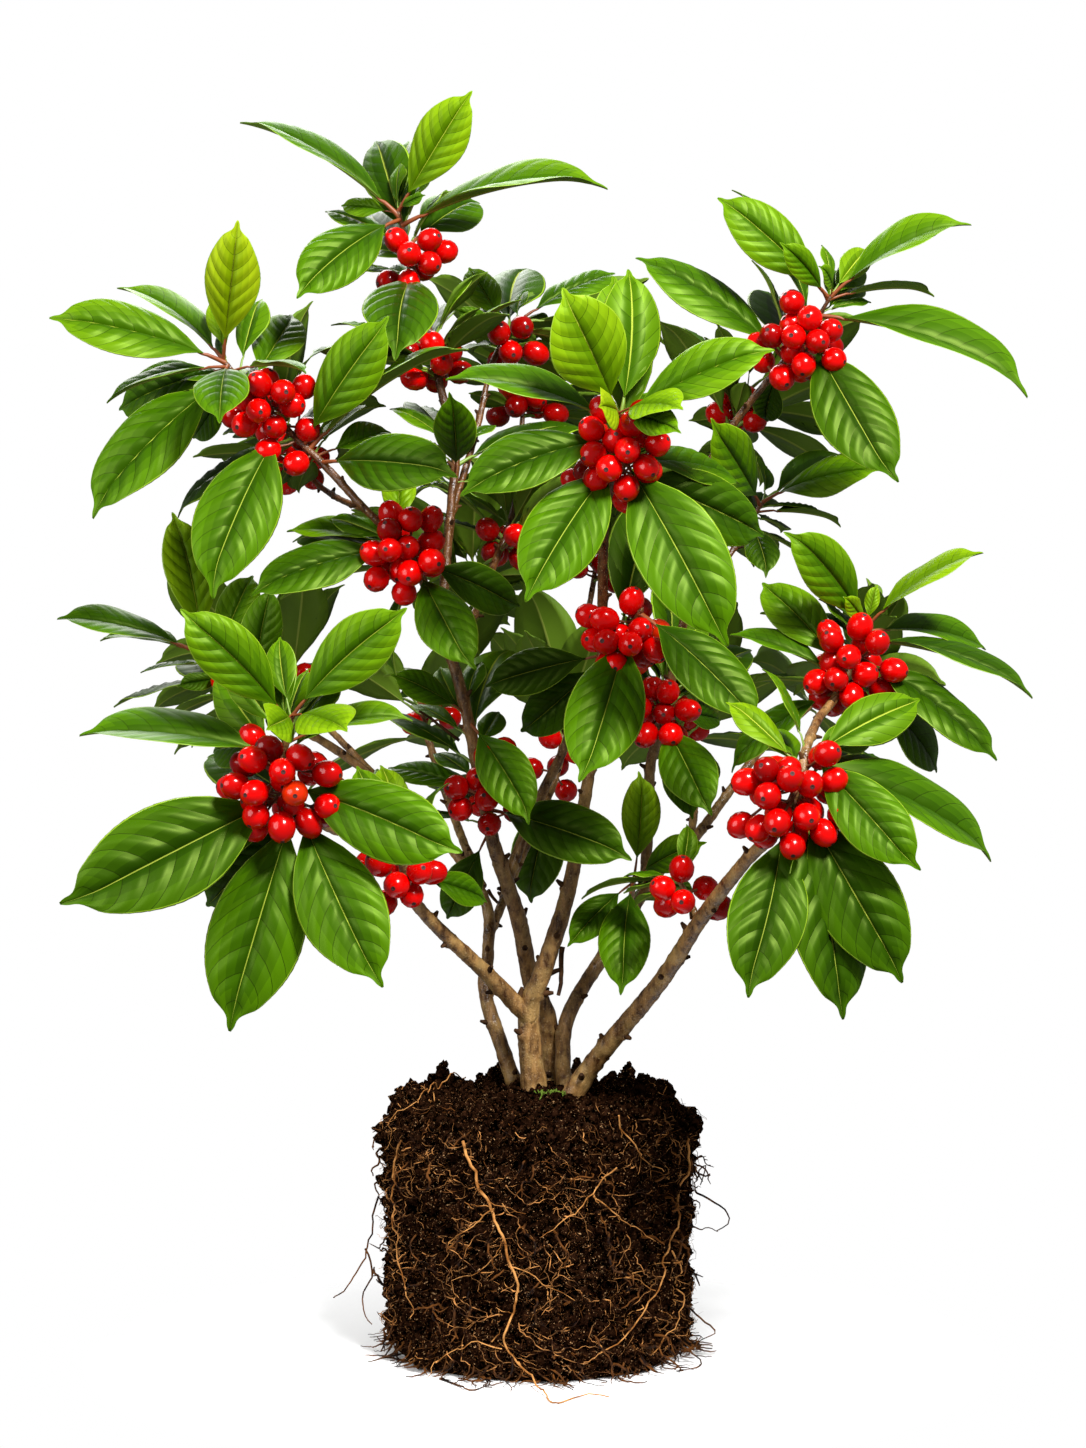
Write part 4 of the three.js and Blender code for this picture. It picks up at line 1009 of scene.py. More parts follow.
LeafPattern = namedtuple("LeafPattern", "starts phases columns")
LeafLook = namedtuple("LeafLook", "broad fold curl puff wave phase ripple bow tip_bend twist droop shade")


def leaf_pattern(phases, columns):
    """The rows and columns of a leaf: where each row starts, and how far along a field it is."""
    first, last = VEIN_STRETCH
    step = (last - first) / (VEINS - 1)
    rows = [(first + (vein + phase) * step, phase) for vein in range(VEINS - 1) for phase in phases]
    rows = [*((start, 0.0) for start in FOOT_ROWS), *rows, *((start, 0.0) for start in (last, *TIP_ROWS))]
    starts, row_phases = np.array(rows).T
    return LeafPattern(starts, row_phases, np.array((*(-c for c in reversed(columns)), 0.0, *columns)))


def drip_share(share):
    """Half width of a finished blade, with its drawn-out tip, over its widest half width."""
    fullness = FINISHED_FULLNESS + np.where(share < 0.5, *FINISHED_TAPERS) * (share - 0.5) ** 2
    full = np.maximum(np.sin(np.pi * np.clip(share, 0, 1) ** FINISHED_LEAN), 0) ** fullness
    begin, end = DRIP_TIP
    t = np.clip((share - begin) / (end - begin), 0, 1)
    t = t * t * (3 - 2 * t)
    neck = DRIP_WIDTH * np.sqrt(np.clip((1 - share) / BLUNT_END, 0.09, 1))
    return np.maximum(full * (1 - t) + neck * t, np.where(share > 0.5, *LEAST_HALVES))


def row_share(starts, across):
    """Where along the blade the rows lie at places across it, for they follow the veins."""
    size = np.abs(across)
    sweep = VEIN_SLANT * size + VEIN_SWEEP * size * size
    rise = (1 - starts ** 2.5) * (1 - np.exp(-starts / 0.08))
    return starts[:, None] + rise[:, None] * sweep[None, :]


def folded(leaf, look, cross):
    """How far a blade rises beside its midrib: it folds up, and curls down again to its rims."""
    size = np.abs(cross)
    return leaf.width / 2 * look.broad * (look.fold * size - look.curl * size * size)


def leaf_points(leaf, pattern, look):
    """The points of one leaf, row by row: the upper skin, then the lower one back again."""
    start = leaf.stalk / leaf.length
    across = pattern.columns
    size = np.abs(across)
    share = row_share(pattern.starts, across)
    teeth = RIM_ROUGHNESS * np.where(np.arange(len(pattern.starts)) % 2, 1.0, -1.0)
    half = drip_share(share) * (1 + teeth[:, None] * (size > RIM_FROM))
    half = half * (1 + look.wave * np.sin(WAVES * share + look.phase) * size ** 3)
    from_rib, from_rim = FIELD_SLOPES
    between_ribs = np.clip(size / from_rib, 0, 1) * np.clip((1 - size) / from_rim, 0, 1)
    puff = np.sin(np.pi * pattern.phases) ** 0.5
    rise = folded(leaf, look, half * across)
    rise = rise + look.puff * leaf.length * puff[:, None] * between_ribs[None, :] * half
    rise = rise + look.ripple * np.sin(RIPPLES * share + look.phase + 2 * across) * size ** 2 * half
    rise = rise - MIDRIB_GROOVE * np.exp(-(across / CREASE) ** 2) * half
    upper = bend_leaf(leaf, start + (1 - start) * share, half * across, rise, look)

    under = np.array(UNDER_COLUMNS)
    share = row_share(pattern.starts, under)
    half = drip_share(share)
    rib = MIDRIB_DEPTH * np.exp(-(under / 0.03) ** 2) * (1.0 - 0.75 * share)
    groove = 0.3 * MIDRIB_GROOVE * np.exp(-(under / 0.1) ** 2) * half
    rise = folded(leaf, look, half * under) - LEAF_SKIN - rib - groove
    lower = bend_leaf(leaf, start + (1 - start) * share, half * under, rise, look)
    return np.concatenate((upper, lower[:, ::-1]), axis=1)


def bend_leaf(leaf, share, cross, rise, look):
    """Lays flat leaf places on the leaf's arch, with its twist and its sideways bow."""
    along = np.clip(share, 0, 1)
    hump = 4 * along * (1 - along)
    bow = look.bow * hump + look.tip_bend * np.clip((along - 0.8) / 0.2, 0, 1) ** 2
    angle = look.twist * (along - 0.4)
    width = cross * leaf.width / 2 * look.broad
    side = width * np.cos(angle) - rise * np.sin(angle) + bow * leaf.length
    height = width * np.sin(angle) + rise * np.cos(angle) + LEAF_ARCH_SHARE * leaf.length * hump
    height = height - look.droop * leaf.length * np.clip((along - 0.75) / 0.25, 0, 1) ** 2
    points = share[..., None] * leaf.chord + height[..., None] * leaf.normal + side[..., None] * leaf.side
    return leaf.foot + points


def band_of(pattern, row, column):
    """The band that a face of a leaf lies in, which gives it its colour."""
    top = len(pattern.columns)
    if column >= top - 1:
        return "under_rib" if top + 1 <= column <= top + 2 else "under"
    sizes = np.abs(pattern.columns[column:column + 2])
    middle = sizes.sum() / 2
    if sizes.max() < CREASE:
        return "midrib"
    if middle > RIM_BAND:
        return "rim"
    if middle < VEIN_END and math.isclose(pattern.phases[row], 1 - VEIN_HALF):
        return "vein"
    start = pattern.starts[row]
    outwards = middle + 0.8 * max(start - 0.55, 0) - 1.2 * max(0.3 - start, 0)
    return FIELDS[sum(outwards > edge for edge in FIELD_EDGES)]


def leaf_faces(pattern):
    """Corners, sizes and bands of a leaf's faces, all of them wound outwards."""
    rows, ring = len(pattern.starts), len(pattern.columns) + len(UNDER_COLUMNS)
    bands = [band_of(pattern, row, column) for row, column in product(range(rows - 1), range(ring))]
    return *tube_faces(rows, ring), bands + ["under", "rim"]


def leaf_shade(kind, leaf, along, draw):
    """The index of a leaf's green: painted shade darkens it inside the crown, and it is yellow-green at the
    tips of shoots.
    """
    young = LEVEL_GREEN + YOUNG_BY_RISE[kind] * max(leaf.chord[2] / leaf.length, -0.3) + (along - 0.6)
    # From here on young also holds painted shade: grown leaves, and leaves further back, are made darker as
    # if shaded inside the crown
    if kind == "grown":
        young -= GROWN_AGE_AND_SHADE
    depth = leaf.foot[1] + leaf.chord[1] / 2
    young -= PAINTED_BACK_SHADE * max(depth, -40.0)
    young += GREEN_SPREAD * (draw - 0.5)
    return int(min(max(round(young), 0), len(GREENS) - 1))


def leaf_look(rng, leaf, along, kind, turn, broad, shade):
    """How a leaf is folded, puffed and bent. Its green is drawn unless it is given."""
    steep = abs(turn) >= STEEP_TURN
    return LeafLook(
        broad=FINISHED_WIDTH * broad,
        fold=0.5 if steep else rng.uniform(0.16, 0.3),
        curl=rng.uniform(0.2, 0.42),
        puff=rng.uniform(0.014, 0.019) * (0.35 if steep else 1.0),
        wave=rng.uniform(0.0, 0.03),
        phase=rng.uniform(0, 2 * math.pi),
        ripple=rng.uniform(0.3, 1.1),
        bow=rng.uniform(-0.03, 0.03),
        tip_bend=rng.uniform(-0.035, 0.035),
        twist=math.radians(rng.uniform(-14, 14)),
        droop=rng.uniform(0.0, 0.05),
        shade=leaf_shade(kind, leaf, along, rng.random()) if shade is None else shade,
    )


def dressed_leaves(spray):
    """The leaves of a spray with their looks. A leaf's look is always the same."""
    name_seed = zlib.crc32(spray.shoot.name.encode())
    for number, (along, leaf, kind, turn, broad, shade) in enumerate(spray.leaves):
        rng = np.random.default_rng([LEAF_SEED, name_seed, number])
        yield leaf, kind, leaf_look(rng, leaf, along, kind, turn, broad, shade)


def leaf_materials():
    """Waxy leaves of a berry bush: a plain material for each green and each band of the blade."""
    materials = {}
    for index, (inner, outer) in enumerate(GREENS):
        shades = {field: mixed_hex(inner, outer, i / 3) for i, field in enumerate(FIELDS)}
        # Painted shade: the vein bands are mixed towards a dark green, as the shade in their creases
        shades["vein"] = mixed_hex(inner, "#0c1800", 0.45)
        shades["midrib"] = mixed_hex(outer, "#b9b552", 0.6)
        for band, colour in shades.items():
            materials[band, index] = plain_material(
                f"waxy leaf {index + 1} {band}", colour, 0.42,
                Specular_IOR_Level=0.37, Specular_Tint=linear(LEAF_SHEEN),
            )
    materials["rim"] = plain_material("waxy leaf rim", "#7f9f14", 0.45)
    for band, name, colour in (
        ("under", "matte leaf underside", "#587519"), ("under_rib", "matte leaf underside rib", "#84953a"),
    ):
        materials[band] = plain_material(name, colour, 0.6, Specular_IOR_Level=0.15)
    return materials


def build_leaves(name, sprays, materials):
    """One piece of foliage: all leaves of some sprays, each in its own green."""
    slot_of = {key: index for index, key in enumerate(materials)}
    patterns = leaf_pattern(FINE_PHASES, FINE_COLUMNS), leaf_pattern(COARSE_PHASES, COARSE_COLUMNS)
    fine, coarse = ((pattern, leaf_faces(pattern)) for pattern in patterns)
    points, loops, sizes, slots = [], [], [], []
    base = 0
    for spray in sprays:
        for leaf, kind, look in dressed_leaves(spray):
            pattern, (leaf_loops, leaf_sizes, bands) = fine if kind == "seen" else coarse
            points.append(leaf_points(leaf, pattern, look).reshape(-1, 3))
            loops.append(leaf_loops + base)
            sizes.append(leaf_sizes)
            slots.extend(slot_of.get((band, look.shade), slot_of.get(band)) for band in bands)
            base += len(points[-1])
    joined = (np.concatenate(some) for some in (points, loops, sizes))
    piece = add_piece(name, *joined, materials.values(), slots)
    hand_over(piece, [spray.shoot.name for spray in sprays])


# Stalks

STALK_POINTS = 7
STALK_REACH = 1.25  # a stalk runs on under the blade, to this many times its length
STALK_TAPER = (0, 0.15, 0.6, 1), (1.25, 1.0, 0.85, 0.45)  # radii at shares of the way
BERRY_STALK_RADII = (0.75, 0.55, 0.7)


def leaf_stalk(leaf, look, radius):
    """A leaf's stalk from inside the stem to a little way under the blade."""
    start = leaf.stalk / leaf.length
    end = STALK_REACH * start
    share = np.linspace(0.0, end, STALK_POINTS)
    down = np.where(share > start, -0.6, 0.0) - 0.2
    points = bend_leaf(leaf, share, np.zeros_like(share), down, look)
    return Strand(points, radius * np.interp(share / end, *STALK_TAPER))


def build_stalks(settings, sprays):
    finishes = {
        "seen": (plain_material("warm leaf stalk", "#7c3c0f", 0.5), 7),
        "grown": (plain_material("green leaf stalk", "#6f8a2c", 0.45), 5),
        "berry": (plain_material("berry stalk", "#6b3a1a", 0.55), 5),
    }
    strands = {key: [] for key in finishes}
    sag = np.array((0, 0, -0.6))
    for spray in sprays:
        for leaf, kind, look in dressed_leaves(spray):
            radius = settings.leaf_radius / MM * min(leaf.length / 80, 1.1)
            strands["seen" if kind == "seen" else "grown"].append(leaf_stalk(leaf, look, radius))
        for foot, centre in spray.berries:
            end = centre - unit(centre - foot) * BERRY_RADIUS * 0.85
            strands["berry"].append(Strand([foot, (foot + end) / 2 + sag, end], BERRY_STALK_RADII))
    for key, (finish, sides) in finishes.items():
        piece = strands_piece(f"stalks_{key}", strands[key], finish, sides)
        hand_over(piece, [spray.shoot.name for spray in sprays])


# Berries

# The outline of a berry from the pit at its stalk to the calyx at its round end, as (height,
# radius) over its own radius
BERRY_OUTLINE = (
    (-0.90, 0.0), (-0.93, 0.16), (-0.86, 0.46), (-0.62, 0.78), (-0.22, 0.98), (0.22, 0.98),
    (0.60, 0.80), (0.86, 0.50), (0.975, 0.18), (0.985, 0.07), (0.96, 0.045), (0.96, 0.0),
)
CALYX_ROWS = 3
BERRY_REDS = ("#c90100", "#ad0100", "#850000", "#c62603")
BERRY_SHARES = (0.49, 0.37, 0.125, 0.015)
BERRY_WIDTHS = (0.93, 1.01)  # over the radius in the settings
BERRY_HEIGHTS = (1.0, 1.22)
BERRY_TILT = 0.12


def berry_template(sides):
    """A berry of unit size along +Z. Its faces know whether they are skin or calyx."""
    circle = [(math.cos(2 * math.pi * i / sides), math.sin(2 * math.pi * i / sides)) for i in range(sides)]
    points, rings = [], []
    for height, radius in BERRY_OUTLINE:
        ring = [(radius * x, radius * y, height) for x, y in (circle if radius else ((0.0, 0.0),))]
        rings.append([len(points) + i for i in range(len(ring))])
        points.extend(ring)
    faces = []
    for low, high in zip(rings, rings[1:]):
        for i in range(sides):
            j = (i + 1) % sides
            corners = low[i % len(low)], low[j % len(low)], high[j % len(high)], high[i % len(high)]
            faces.append(tuple(dict.fromkeys(corners)))  # a pole is one corner of its faces
    calyx_faces = CALYX_ROWS * sides
    parts = [0] * (len(faces) - calyx_faces) + [1] * calyx_faces
    mesh = bpy.data.meshes.new("berry")
    mesh.from_pydata(points, [], faces)
    mesh.attributes.new("part", "INT", "FACE").data.foreach_set("value", parts)
    mesh.polygons.foreach_set("use_smooth", [True] * len(faces))
    return add_object("berry", mesh)


def berry_tree(reds, calyx):
    """Puts a berry on every point, with the facing, the size and the red that the point names."""
    tree, given = geometry_tree("berries on points", Berry="Object")
    read = {}
    for name in ("facing", "size", "tint", "part"):
        kind = "FLOAT_VECTOR" if name in ("facing", "size") else "INT"
        node = add_node(tree, "GeometryNodeInputNamedAttribute", {"Name": name}, data_type=kind)
        read[name] = node.outputs["Attribute"]
    template = add_node(tree, "GeometryNodeObjectInfo", {"Object": given["Berry"]})
    turned_to = add_node(tree, "FunctionNodeAlignRotationToVector", {"Vector": read["facing"]})
    placed = add_node(tree, "GeometryNodeInstanceOnPoints", {
        "Points": given["Geometry"], "Instance": template.outputs["Geometry"],
        "Rotation": turned_to.outputs["Rotation"], "Scale": read["size"],
    })
    finishes = []
    for finish, name, value in (*((red, "tint", i) for i, red in enumerate(reds)), (calyx, "part", 1)):
        chosen = add_node(
            tree, "FunctionNodeCompare", {2: read[name], 3: value}, data_type="INT", operation="EQUAL",
        )
        finishes.append((finish, chosen.outputs["Result"]))
    return end_tree(tree, placed.outputs["Instances"], finishes)


def build_berries(settings, sprays):
    """Waxy red berries on every spray, with a dark dot of calyx."""
    rng = np.random.default_rng(settings.seed)
    centres, facings, sizes, tints = [], [], [], []
    for foot, centre in (berry for spray in sprays for berry in spray.berries):
        centres.append(centre * MM)
        facings.append(unit(unit(centre - foot) + rng.normal(0, BERRY_TILT, 3)))
        width = settings.radius * rng.uniform(*BERRY_WIDTHS)
        sizes.append((width, width, settings.radius * rng.uniform(*BERRY_HEIGHTS)))
        tints.append(rng.choice(len(BERRY_REDS), p=BERRY_SHARES))
    mesh = bpy.data.meshes.new("berry places")
    mesh.from_pydata(centres, [], [])
    for name, kind, key, values in (
        ("facing", "FLOAT_VECTOR", "vector", np.array(facings, dtype=np.float32)),
        ("size", "FLOAT_VECTOR", "vector", np.array(sizes, dtype=np.float32)),
        ("tint", "INT", "value", np.array(tints, dtype=np.int32)),
    ):
        mesh.attributes.new(name, kind, "POINT").data.foreach_set(key, values.ravel())
    reds = [
        plain_material(f"ripe waxy berry {i + 1}", red, 0.17, Specular_IOR_Level=0.36)
        for i, red in enumerate(BERRY_REDS)
    ]
    calyx = plain_material("dry berry calyx", "#3a0803", 0.7)
    template = berry_template(settings.sides)
    places = add_object("berry places", mesh)
    piece = from_nodes(places, berry_tree(reds, calyx), "berries", berry=template)
    bpy.data.objects.remove(template)
    hand_over(piece, [spray.shoot.name for spray in sprays])


# Bark

# Dead side twigs: a radius, and a route of (across, height, depth) on the measuring plane
DEAD_TWIGS = (
    (1.3, ((11.6, 192.9, -13), (11.2, 181, -14), (11.1, 169.9, -15))),
    (1.5, ((5.5, 180, -11), (11.2, 182, -14))),
    (1.0, ((-24, 220.0, -8), (-19.6, 214.0, -12))),
    (0.9, ((73.6, 206, -66), (73.8, 214, -66), (73.5, 221, -66))),
    (0.9, ((-38.0, 292.0, -16), (-48.0, 300.0, -18), (-55.6, 306.2, -20))),
)
PRUNED_KNOT = ((-25.7, 260.6, -16), (-25.7, 260.4, -22.2))
STEM_BELOW = 7.0  # a stem goes on into the soil by this much
STEM_FLARE = 14.0  # how far up a stem thickens towards its foot
FORK_FLARE = 6.0  # the same where a bough leaves its stem
FLARE_SHARE = 0.15
BUD_LENGTH = 5.0
BUD_SWELL = 0.35
SCAR_RING = 0.5  # how far the ring round a joint stands out, and the scar itself
SCAR_HEIGHT = 2.6
SPUR_LENGTH = 2.1  # of a bud spur on the thinnest twig
SPUR_RADIUS = 0.6
FIRST_JOINT = 9.0  # from the foot of a branch to its first leaf scar
LAST_JOINT = 6.0  # from the last leaf scar to the tip, at least
PLACES_A_STEP = 40  # steps that a line is measured in, from one point of its route to the next
RIDGES = (0.5, 0.5, 0.13)  # turns of the bark's grain in a millimetre, along each axis
RIDGE_DEPTH = 0.75
PITS = 0.9
PIT_DEPTH = 0.4


def arc_places(line, row):
    """Places along a line that are a row apart, with how far along the line each one is."""
    fine = [i / PLACES_A_STEP for i in range(PLACES_A_STEP * line.last + 1)]
    points = np.array([line.point(place) for place in fine])
    runs = np.concatenate(([0.0], np.cumsum(np.linalg.norm(np.diff(points, axis=0), axis=1))))
    wanted = np.linspace(0.0, runs[-1], max(int(runs[-1] / row), 4) + 1)
    return np.interp(wanted, runs, fine), wanted


def swept_frames(points):
    """The direction of a path at each point, and two across it that turn as little as they can."""
    tangents = np.gradient(points, axis=0)
    tangents /= np.linalg.norm(tangents, axis=1)[:, None]
    first, _ = cross_axes(tangents[0])
    firsts = []
    for tangent in tangents:
        first = unit(first - tangent * (tangent @ first))
        firsts.append(first)
    return tangents, np.array(firsts), np.cross(tangents, firsts)


def stem_rings(branch, line, row):
    """The middles, radii and runs of a branch's rings, with its flared foot and the bud at its tip."""
    places, runs = arc_places(line, row)
    centres = np.array([line.point(place) for place in places])
    radii = np.array([line.radius(place) for place in places])
    if branch.fork is None:
        below = np.arange(STEM_BELOW, 0, -row)
        centres = np.concatenate((centres[0] - np.outer(below, (0.0, 0.0, 1.0)), centres))
        radii = np.concatenate((radii[0] * (FOOT_FLARE + 0.03 * below), radii))
        runs = np.concatenate((-below, runs))
    reach = STEM_FLARE if branch.fork is None else FORK_FLARE
    radii = radii * (0.95 + FLARE_SHARE * np.clip(1 - runs / reach, 0, 1) ** 2)
    bud = np.clip((runs - runs[-1] + BUD_LENGTH) / BUD_LENGTH, 0, 1)
    return centres, radii * (1 + BUD_SWELL * np.sin(np.pi * bud) - bud ** 3 * 0.9), runs


def leaf_scars(rng, runs, radii, angles, spacing):
    """The relief of a branch's leaf scars, and the run and the side of each one."""
    rise = np.zeros((len(runs), len(angles)))
    joint = FIRST_JOINT
    turn = rng.uniform(0, 2 * math.pi)
    scars = []
    while joint < runs[-1] - LAST_JOINT:
        ring = np.exp(-((runs - joint) / 1.5) ** 2)
        scar = np.exp(-((runs - joint - 0.4) / 1.3) ** 2)
        scar = scar[:, None] * np.clip(np.cos(angles - turn), 0, 1)[None, :] ** 6
        size = 0.16 + 0.055 * np.interp(joint, runs, radii)
        rise += size * (SCAR_RING * ring[:, None] + SCAR_HEIGHT * scar)
        scars.append((joint, turn))
        joint += spacing * rng.uniform(0.65, 1.5)
        turn += GOLDEN_ANGLE + rng.uniform(-0.3, 0.3)
    return rise, scars


def bark_grain(point, seed):
    """How far the bark stands out at a place, in ridges drawn out upwards and in small pits."""
    drawn_out = Vector([place * turns for place, turns in zip(point, RIDGES)])
    ridges = noise.noise(drawn_out + Vector((seed, 0, 0)))
    return RIDGE_DEPTH * ridges + PIT_DEPTH * noise.noise(Vector(point) * PITS)


def bark_points(branch, line, settings, seed):
    """The rings of a branch from its foot to its bud, in relief, and the spurs at its leaf scars."""
    rng = np.random.default_rng(seed)
    centres, radii, runs = stem_rings(branch, line, settings.row / MM)
    tangents, firsts, seconds = swept_frames(centres)
    angles = np.arange(settings.sides) * 2 * math.pi / settings.sides
    rise, scars = leaf_scars(rng, runs, radii, angles, settings.joint / MM)
    directions = firsts[:, None, :] * np.cos(angles)[None, :, None]
    directions = directions + seconds[:, None, :] * np.sin(angles)[None, :, None]
    base = centres[:, None, :] + directions * radii[:, None, None]
    grain = np.array([[bark_grain(point, seed) for point in ring] for ring in base])
    rise += settings.relief * (0.35 + 0.12 * radii)[:, None] * grain
    spurs = []
    for run, turn in scars:
        i = int(np.argmin(np.abs(runs - run)))
        out = firsts[i] * math.cos(turn) + seconds[i] * math.sin(turn)
        out = unit(out + 0.55 * tangents[i])
        foot = centres[i] + out * radii[i] * 0.5
        length = SPUR_LENGTH + radii[i] * rng.uniform(0.5, 1.3)
        thick = SPUR_RADIUS + 0.2 * radii[i]
        points = [foot, foot + out * (0.6 * length), foot + out * length]
        spurs.append(Strand(points, [1.3 * thick, thick, 0.55 * thick]))
    return base + directions * rise[:, :, None], spurs


def limb_nodes(branch):
    """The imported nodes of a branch's limbs, and of its masses where it has no limb."""
    limbs = [name for name in frame["nodes"] if name.rstrip("0123456789").rstrip("_") == branch.name]
    return limbs or [shoot.name for shoot in branch.shoots]


def bark_material():
    """Smooth young bark: brown with grey-tan patches low on the stems, dark brown above, and dark specks in
    its pits that are partly painted shade.
    """
    return patterned_material(
        plain_material("young shrub bark", "#5b4128", 0.5),
        noises=(
            Noise("streaks", 3.0, 4.0, upright=0.35), Noise("patches", 9.0, 2.0), Noise("fine", 0.8, 2.0),
        ),
        shares=(
            Share("low streaks", "streaks", 0.34, 0.66), Share("high streaks", "streaks", 0.3, 0.7),
            Share("high up", "height", 0.25, 0.38), Share("low down", "height", 0.36, 0.24),
            Share("worn", "patches", 0.48, 0.68, 0.0, 0.5),
            # Pits: dark where the fine bump is lowest, partly the bark's own dark specks and partly painted
            # shade in its pits
            Share("flecks", "fine", 0.62, 0.7, 0.0, 0.45), Share("pits", "fine", 0.39, 0.3, 0.0, 0.55),
            Share("roughness", "streaks", 0.3, 0.7, 0.24, 0.42),
        ),
        colours=(
            Colour("low wood", "#452a14", "#9a723f", "low streaks"),
            Colour("high wood", "#2c1406", "#6e431a", "high streaks"),
            Colour("wood", "low wood", "high wood", "high up"),
            Colour("worn wood", "wood", "#b8965a", "worn"),
            Colour("weathered", "wood", "worn wood", "low down"),
            Colour("flecked", "weathered", "#d0b384", "flecks"),
            Colour("pitted", "flecked", "#241408", "pits"),
        ),
        bump=Bump(("streaks", "fine"), 0.55, 0.6),
    )


def build_bark(settings, lines):
    material = bark_material()
    dead = woody_material("dead twig bark", "#4d3219", "#2a180b")
    spurs = []
    for seed, branch in enumerate(BRANCHES):
        rings, strands = bark_points(branch, lines[branch.name], settings, seed + 1)
        spurs.extend(strands)
        faces = tube_faces(len(rings), settings.sides)
        piece = add_piece(f"bark_{branch.name}", rings.reshape(-1, 3), *faces, [material])
        hand_over(piece, limb_nodes(branch))
    for radius, route in DEAD_TWIGS:
        path = smooth_path([seen(*place) for place in route], np.random.default_rng(1), wander=0.5)
        spurs.append(Strand(path, radius * np.linspace(1.0, 0.7, len(path))))
    limbs = [name for branch in BRANCHES for name in limb_nodes(branch)]
    hand_over(strands_piece("bark_spurs", spurs, dead, 6), limbs)
    knot = Strand([seen(*place) for place in PRUNED_KNOT], (2.4, 2.0))
    cut = plain_material("cut wood", "#a5733c", 0.6)
    hand_over(strands_piece("bark_knot", [knot], cut, 10), ["centre_stem_1"])


# Root ball

# The outline of the ball from the underside to the flat top, as (share of the body, level)
BALL_PROFILE = (
    (0.0, 0.0), (0.5, 0.0), (0.93, 0.0), (1.0, 0.08), (1.0, 0.3), (1.0, 0.55), (1.0, 0.78),
    (0.985, 0.91), (0.9, 0.985), (0.72, 0.995), (0.42, 1.0), (0.15, 1.0), (0.0, 1.0),
)
BALL_LUMP = 2.6

# Heaps of crumbs round the upper edge, as (across, depth, height, radius, how far they stand out)
HEAPS = (
    (-46, 28, 122, 9, 7), (-62, 6, 120, 8, 6), (-75, -8, 104, 7, 5), (40, 34, 122, 10, 7),
    (56, 16, 121, 8, 6), (-18, 48, 122, 10, 7), (18, 52, 122, 9, 5), (72, -12, 113, 7, 4),
    (-34, -38, 120, 12, 3), (30, -46, 120, 12, 3), (0, 4, 121, 26, 4),
)
HEAP_PLACES = [(Vector(heap[:3]), *heap[3:]) for heap in HEAPS]
LUMPS = (15.0, 3.4)  # size and depth of what the soil's surface is made of
CRUMBS = (4.6, 4.8)
GRAINS = (1.8, 2.2)
CRUMB_SHAPES = (0.7, 0.7, 0.5), (1.3, 1.2, 1.0)  # the least and the most, over a crumb's size
CLODS_A_CRUMB = 1 / 4
LARGEST_CLOD = 2.6  # over the largest crumb
CRUMBS_FROM = 0.003  # height over the floor where crumbs begin
CLODS_FROM = 0.1  # the same for clods, which lie round the upper edge


def body_radius(level):
    """Radius of the ball's plain body at a level from 0 at its foot to 1 at its top."""
    return mix(BALL_FOOT_RADIUS, BALL_TOP_RADIUS, level)


def ball_crumb(angle, level):
    """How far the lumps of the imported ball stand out."""
    coarse = np.sin(5 * angle + 9 * level) + np.sin(8 * angle - 6 * level + 1.3)
    return BALL_LUMP / 3 * (coarse + np.sin(13 * angle + 17 * level + 0.4))


def ball_place(angle, run):
    """A place on the ball's smooth skin: run goes from 0 under its middle to 1 on top of it."""
    shares, levels = np.array(BALL_PROFILE).T
    steps = np.hypot(np.diff(shares * body_radius(levels)), np.diff(levels * BALL_HEIGHT))
    runs = np.concatenate(([0.0], np.cumsum(steps)))
    share = np.interp(run * runs[-1], runs, shares)
    level = np.interp(run * runs[-1], runs, levels)
    bumpy = np.clip(level / 0.06, 0, 1) * np.clip((share - 0.42) / 0.3, 0, 1)
    radius = body_radius(level) * share + bumpy * ball_crumb(angle, level)
    height = BALL_HEIGHT * level + bumpy * 0.5 * ball_crumb(angle + 2, level)
    return np.stack((radius * np.cos(angle), radius * np.sin(angle), height), axis=-1)


def soil_relief(place):
    """How far the crumbly soil stands out of the smooth skin at a place, in millimetres."""
    here = Vector(place)
    lumps = noise.fractal(here / LUMPS[0], 0.8, 2.1, 3)
    crumbs = noise.noise(here / CRUMBS[0])
    grains = noise.noise(here / GRAINS[0])
    heaped = sum(out * math.exp(-((here - top).length / radius) ** 2) for top, radius, out in HEAP_PLACES)
    heaped *= 1 + 0.7 * crumbs
    return LUMPS[1] * lumps + CRUMBS[1] * crumbs + GRAINS[1] * grains + heaped


def build_soil(settings):
    """The crumbly skin of the root ball, closed by a fan of faces under it and one on top."""
    columns, rows = settings.columns, settings.rows - 1
    angles = np.linspace(0, 2 * math.pi, columns, endpoint=False)
    smooth = ball_place(*np.meshgrid(angles, np.linspace(0.0, 1.0, rows + 2)[1:-1]))
    along_columns = np.roll(smooth, -1, axis=1) - np.roll(smooth, 1, axis=1)
    outward = np.cross(along_columns, np.gradient(smooth, axis=0))
    outward /= np.maximum(np.linalg.norm(outward, axis=-1), 1e-9)[..., None]
    relief = np.array([[soil_relief(place) for place in ring] for ring in smooth]) * settings.relief
    off_floor = np.clip(smooth[..., 2] / 3.0, 0, 1)
    skin = smooth + outward * (relief * off_floor)[..., None]
    skin[..., 2] = np.maximum(skin[..., 2], 0.0)
    points = np.concatenate((skin.reshape(-1, 3), [(0, 0, 0), (0, 0, BALL_HEIGHT + 0.5)]))
    quads = ring_quads(rows, columns)
    bottom, top, last_ring = rows * columns, rows * columns + 1, (rows - 1) * columns
    fans = []
    for i in range(columns):
        j = (i + 1) % columns
        fans.extend((bottom, j, i, top, last_ring + i, last_ring + j))
    sizes = np.concatenate((np.full(len(quads), 4), np.full(2 * columns, 3)))
    piece = add_piece("soil", points, np.concatenate((quads.ravel(), fans)), sizes, [soil_material()])
    hand_over(piece, ["root_ball"])
    return piece


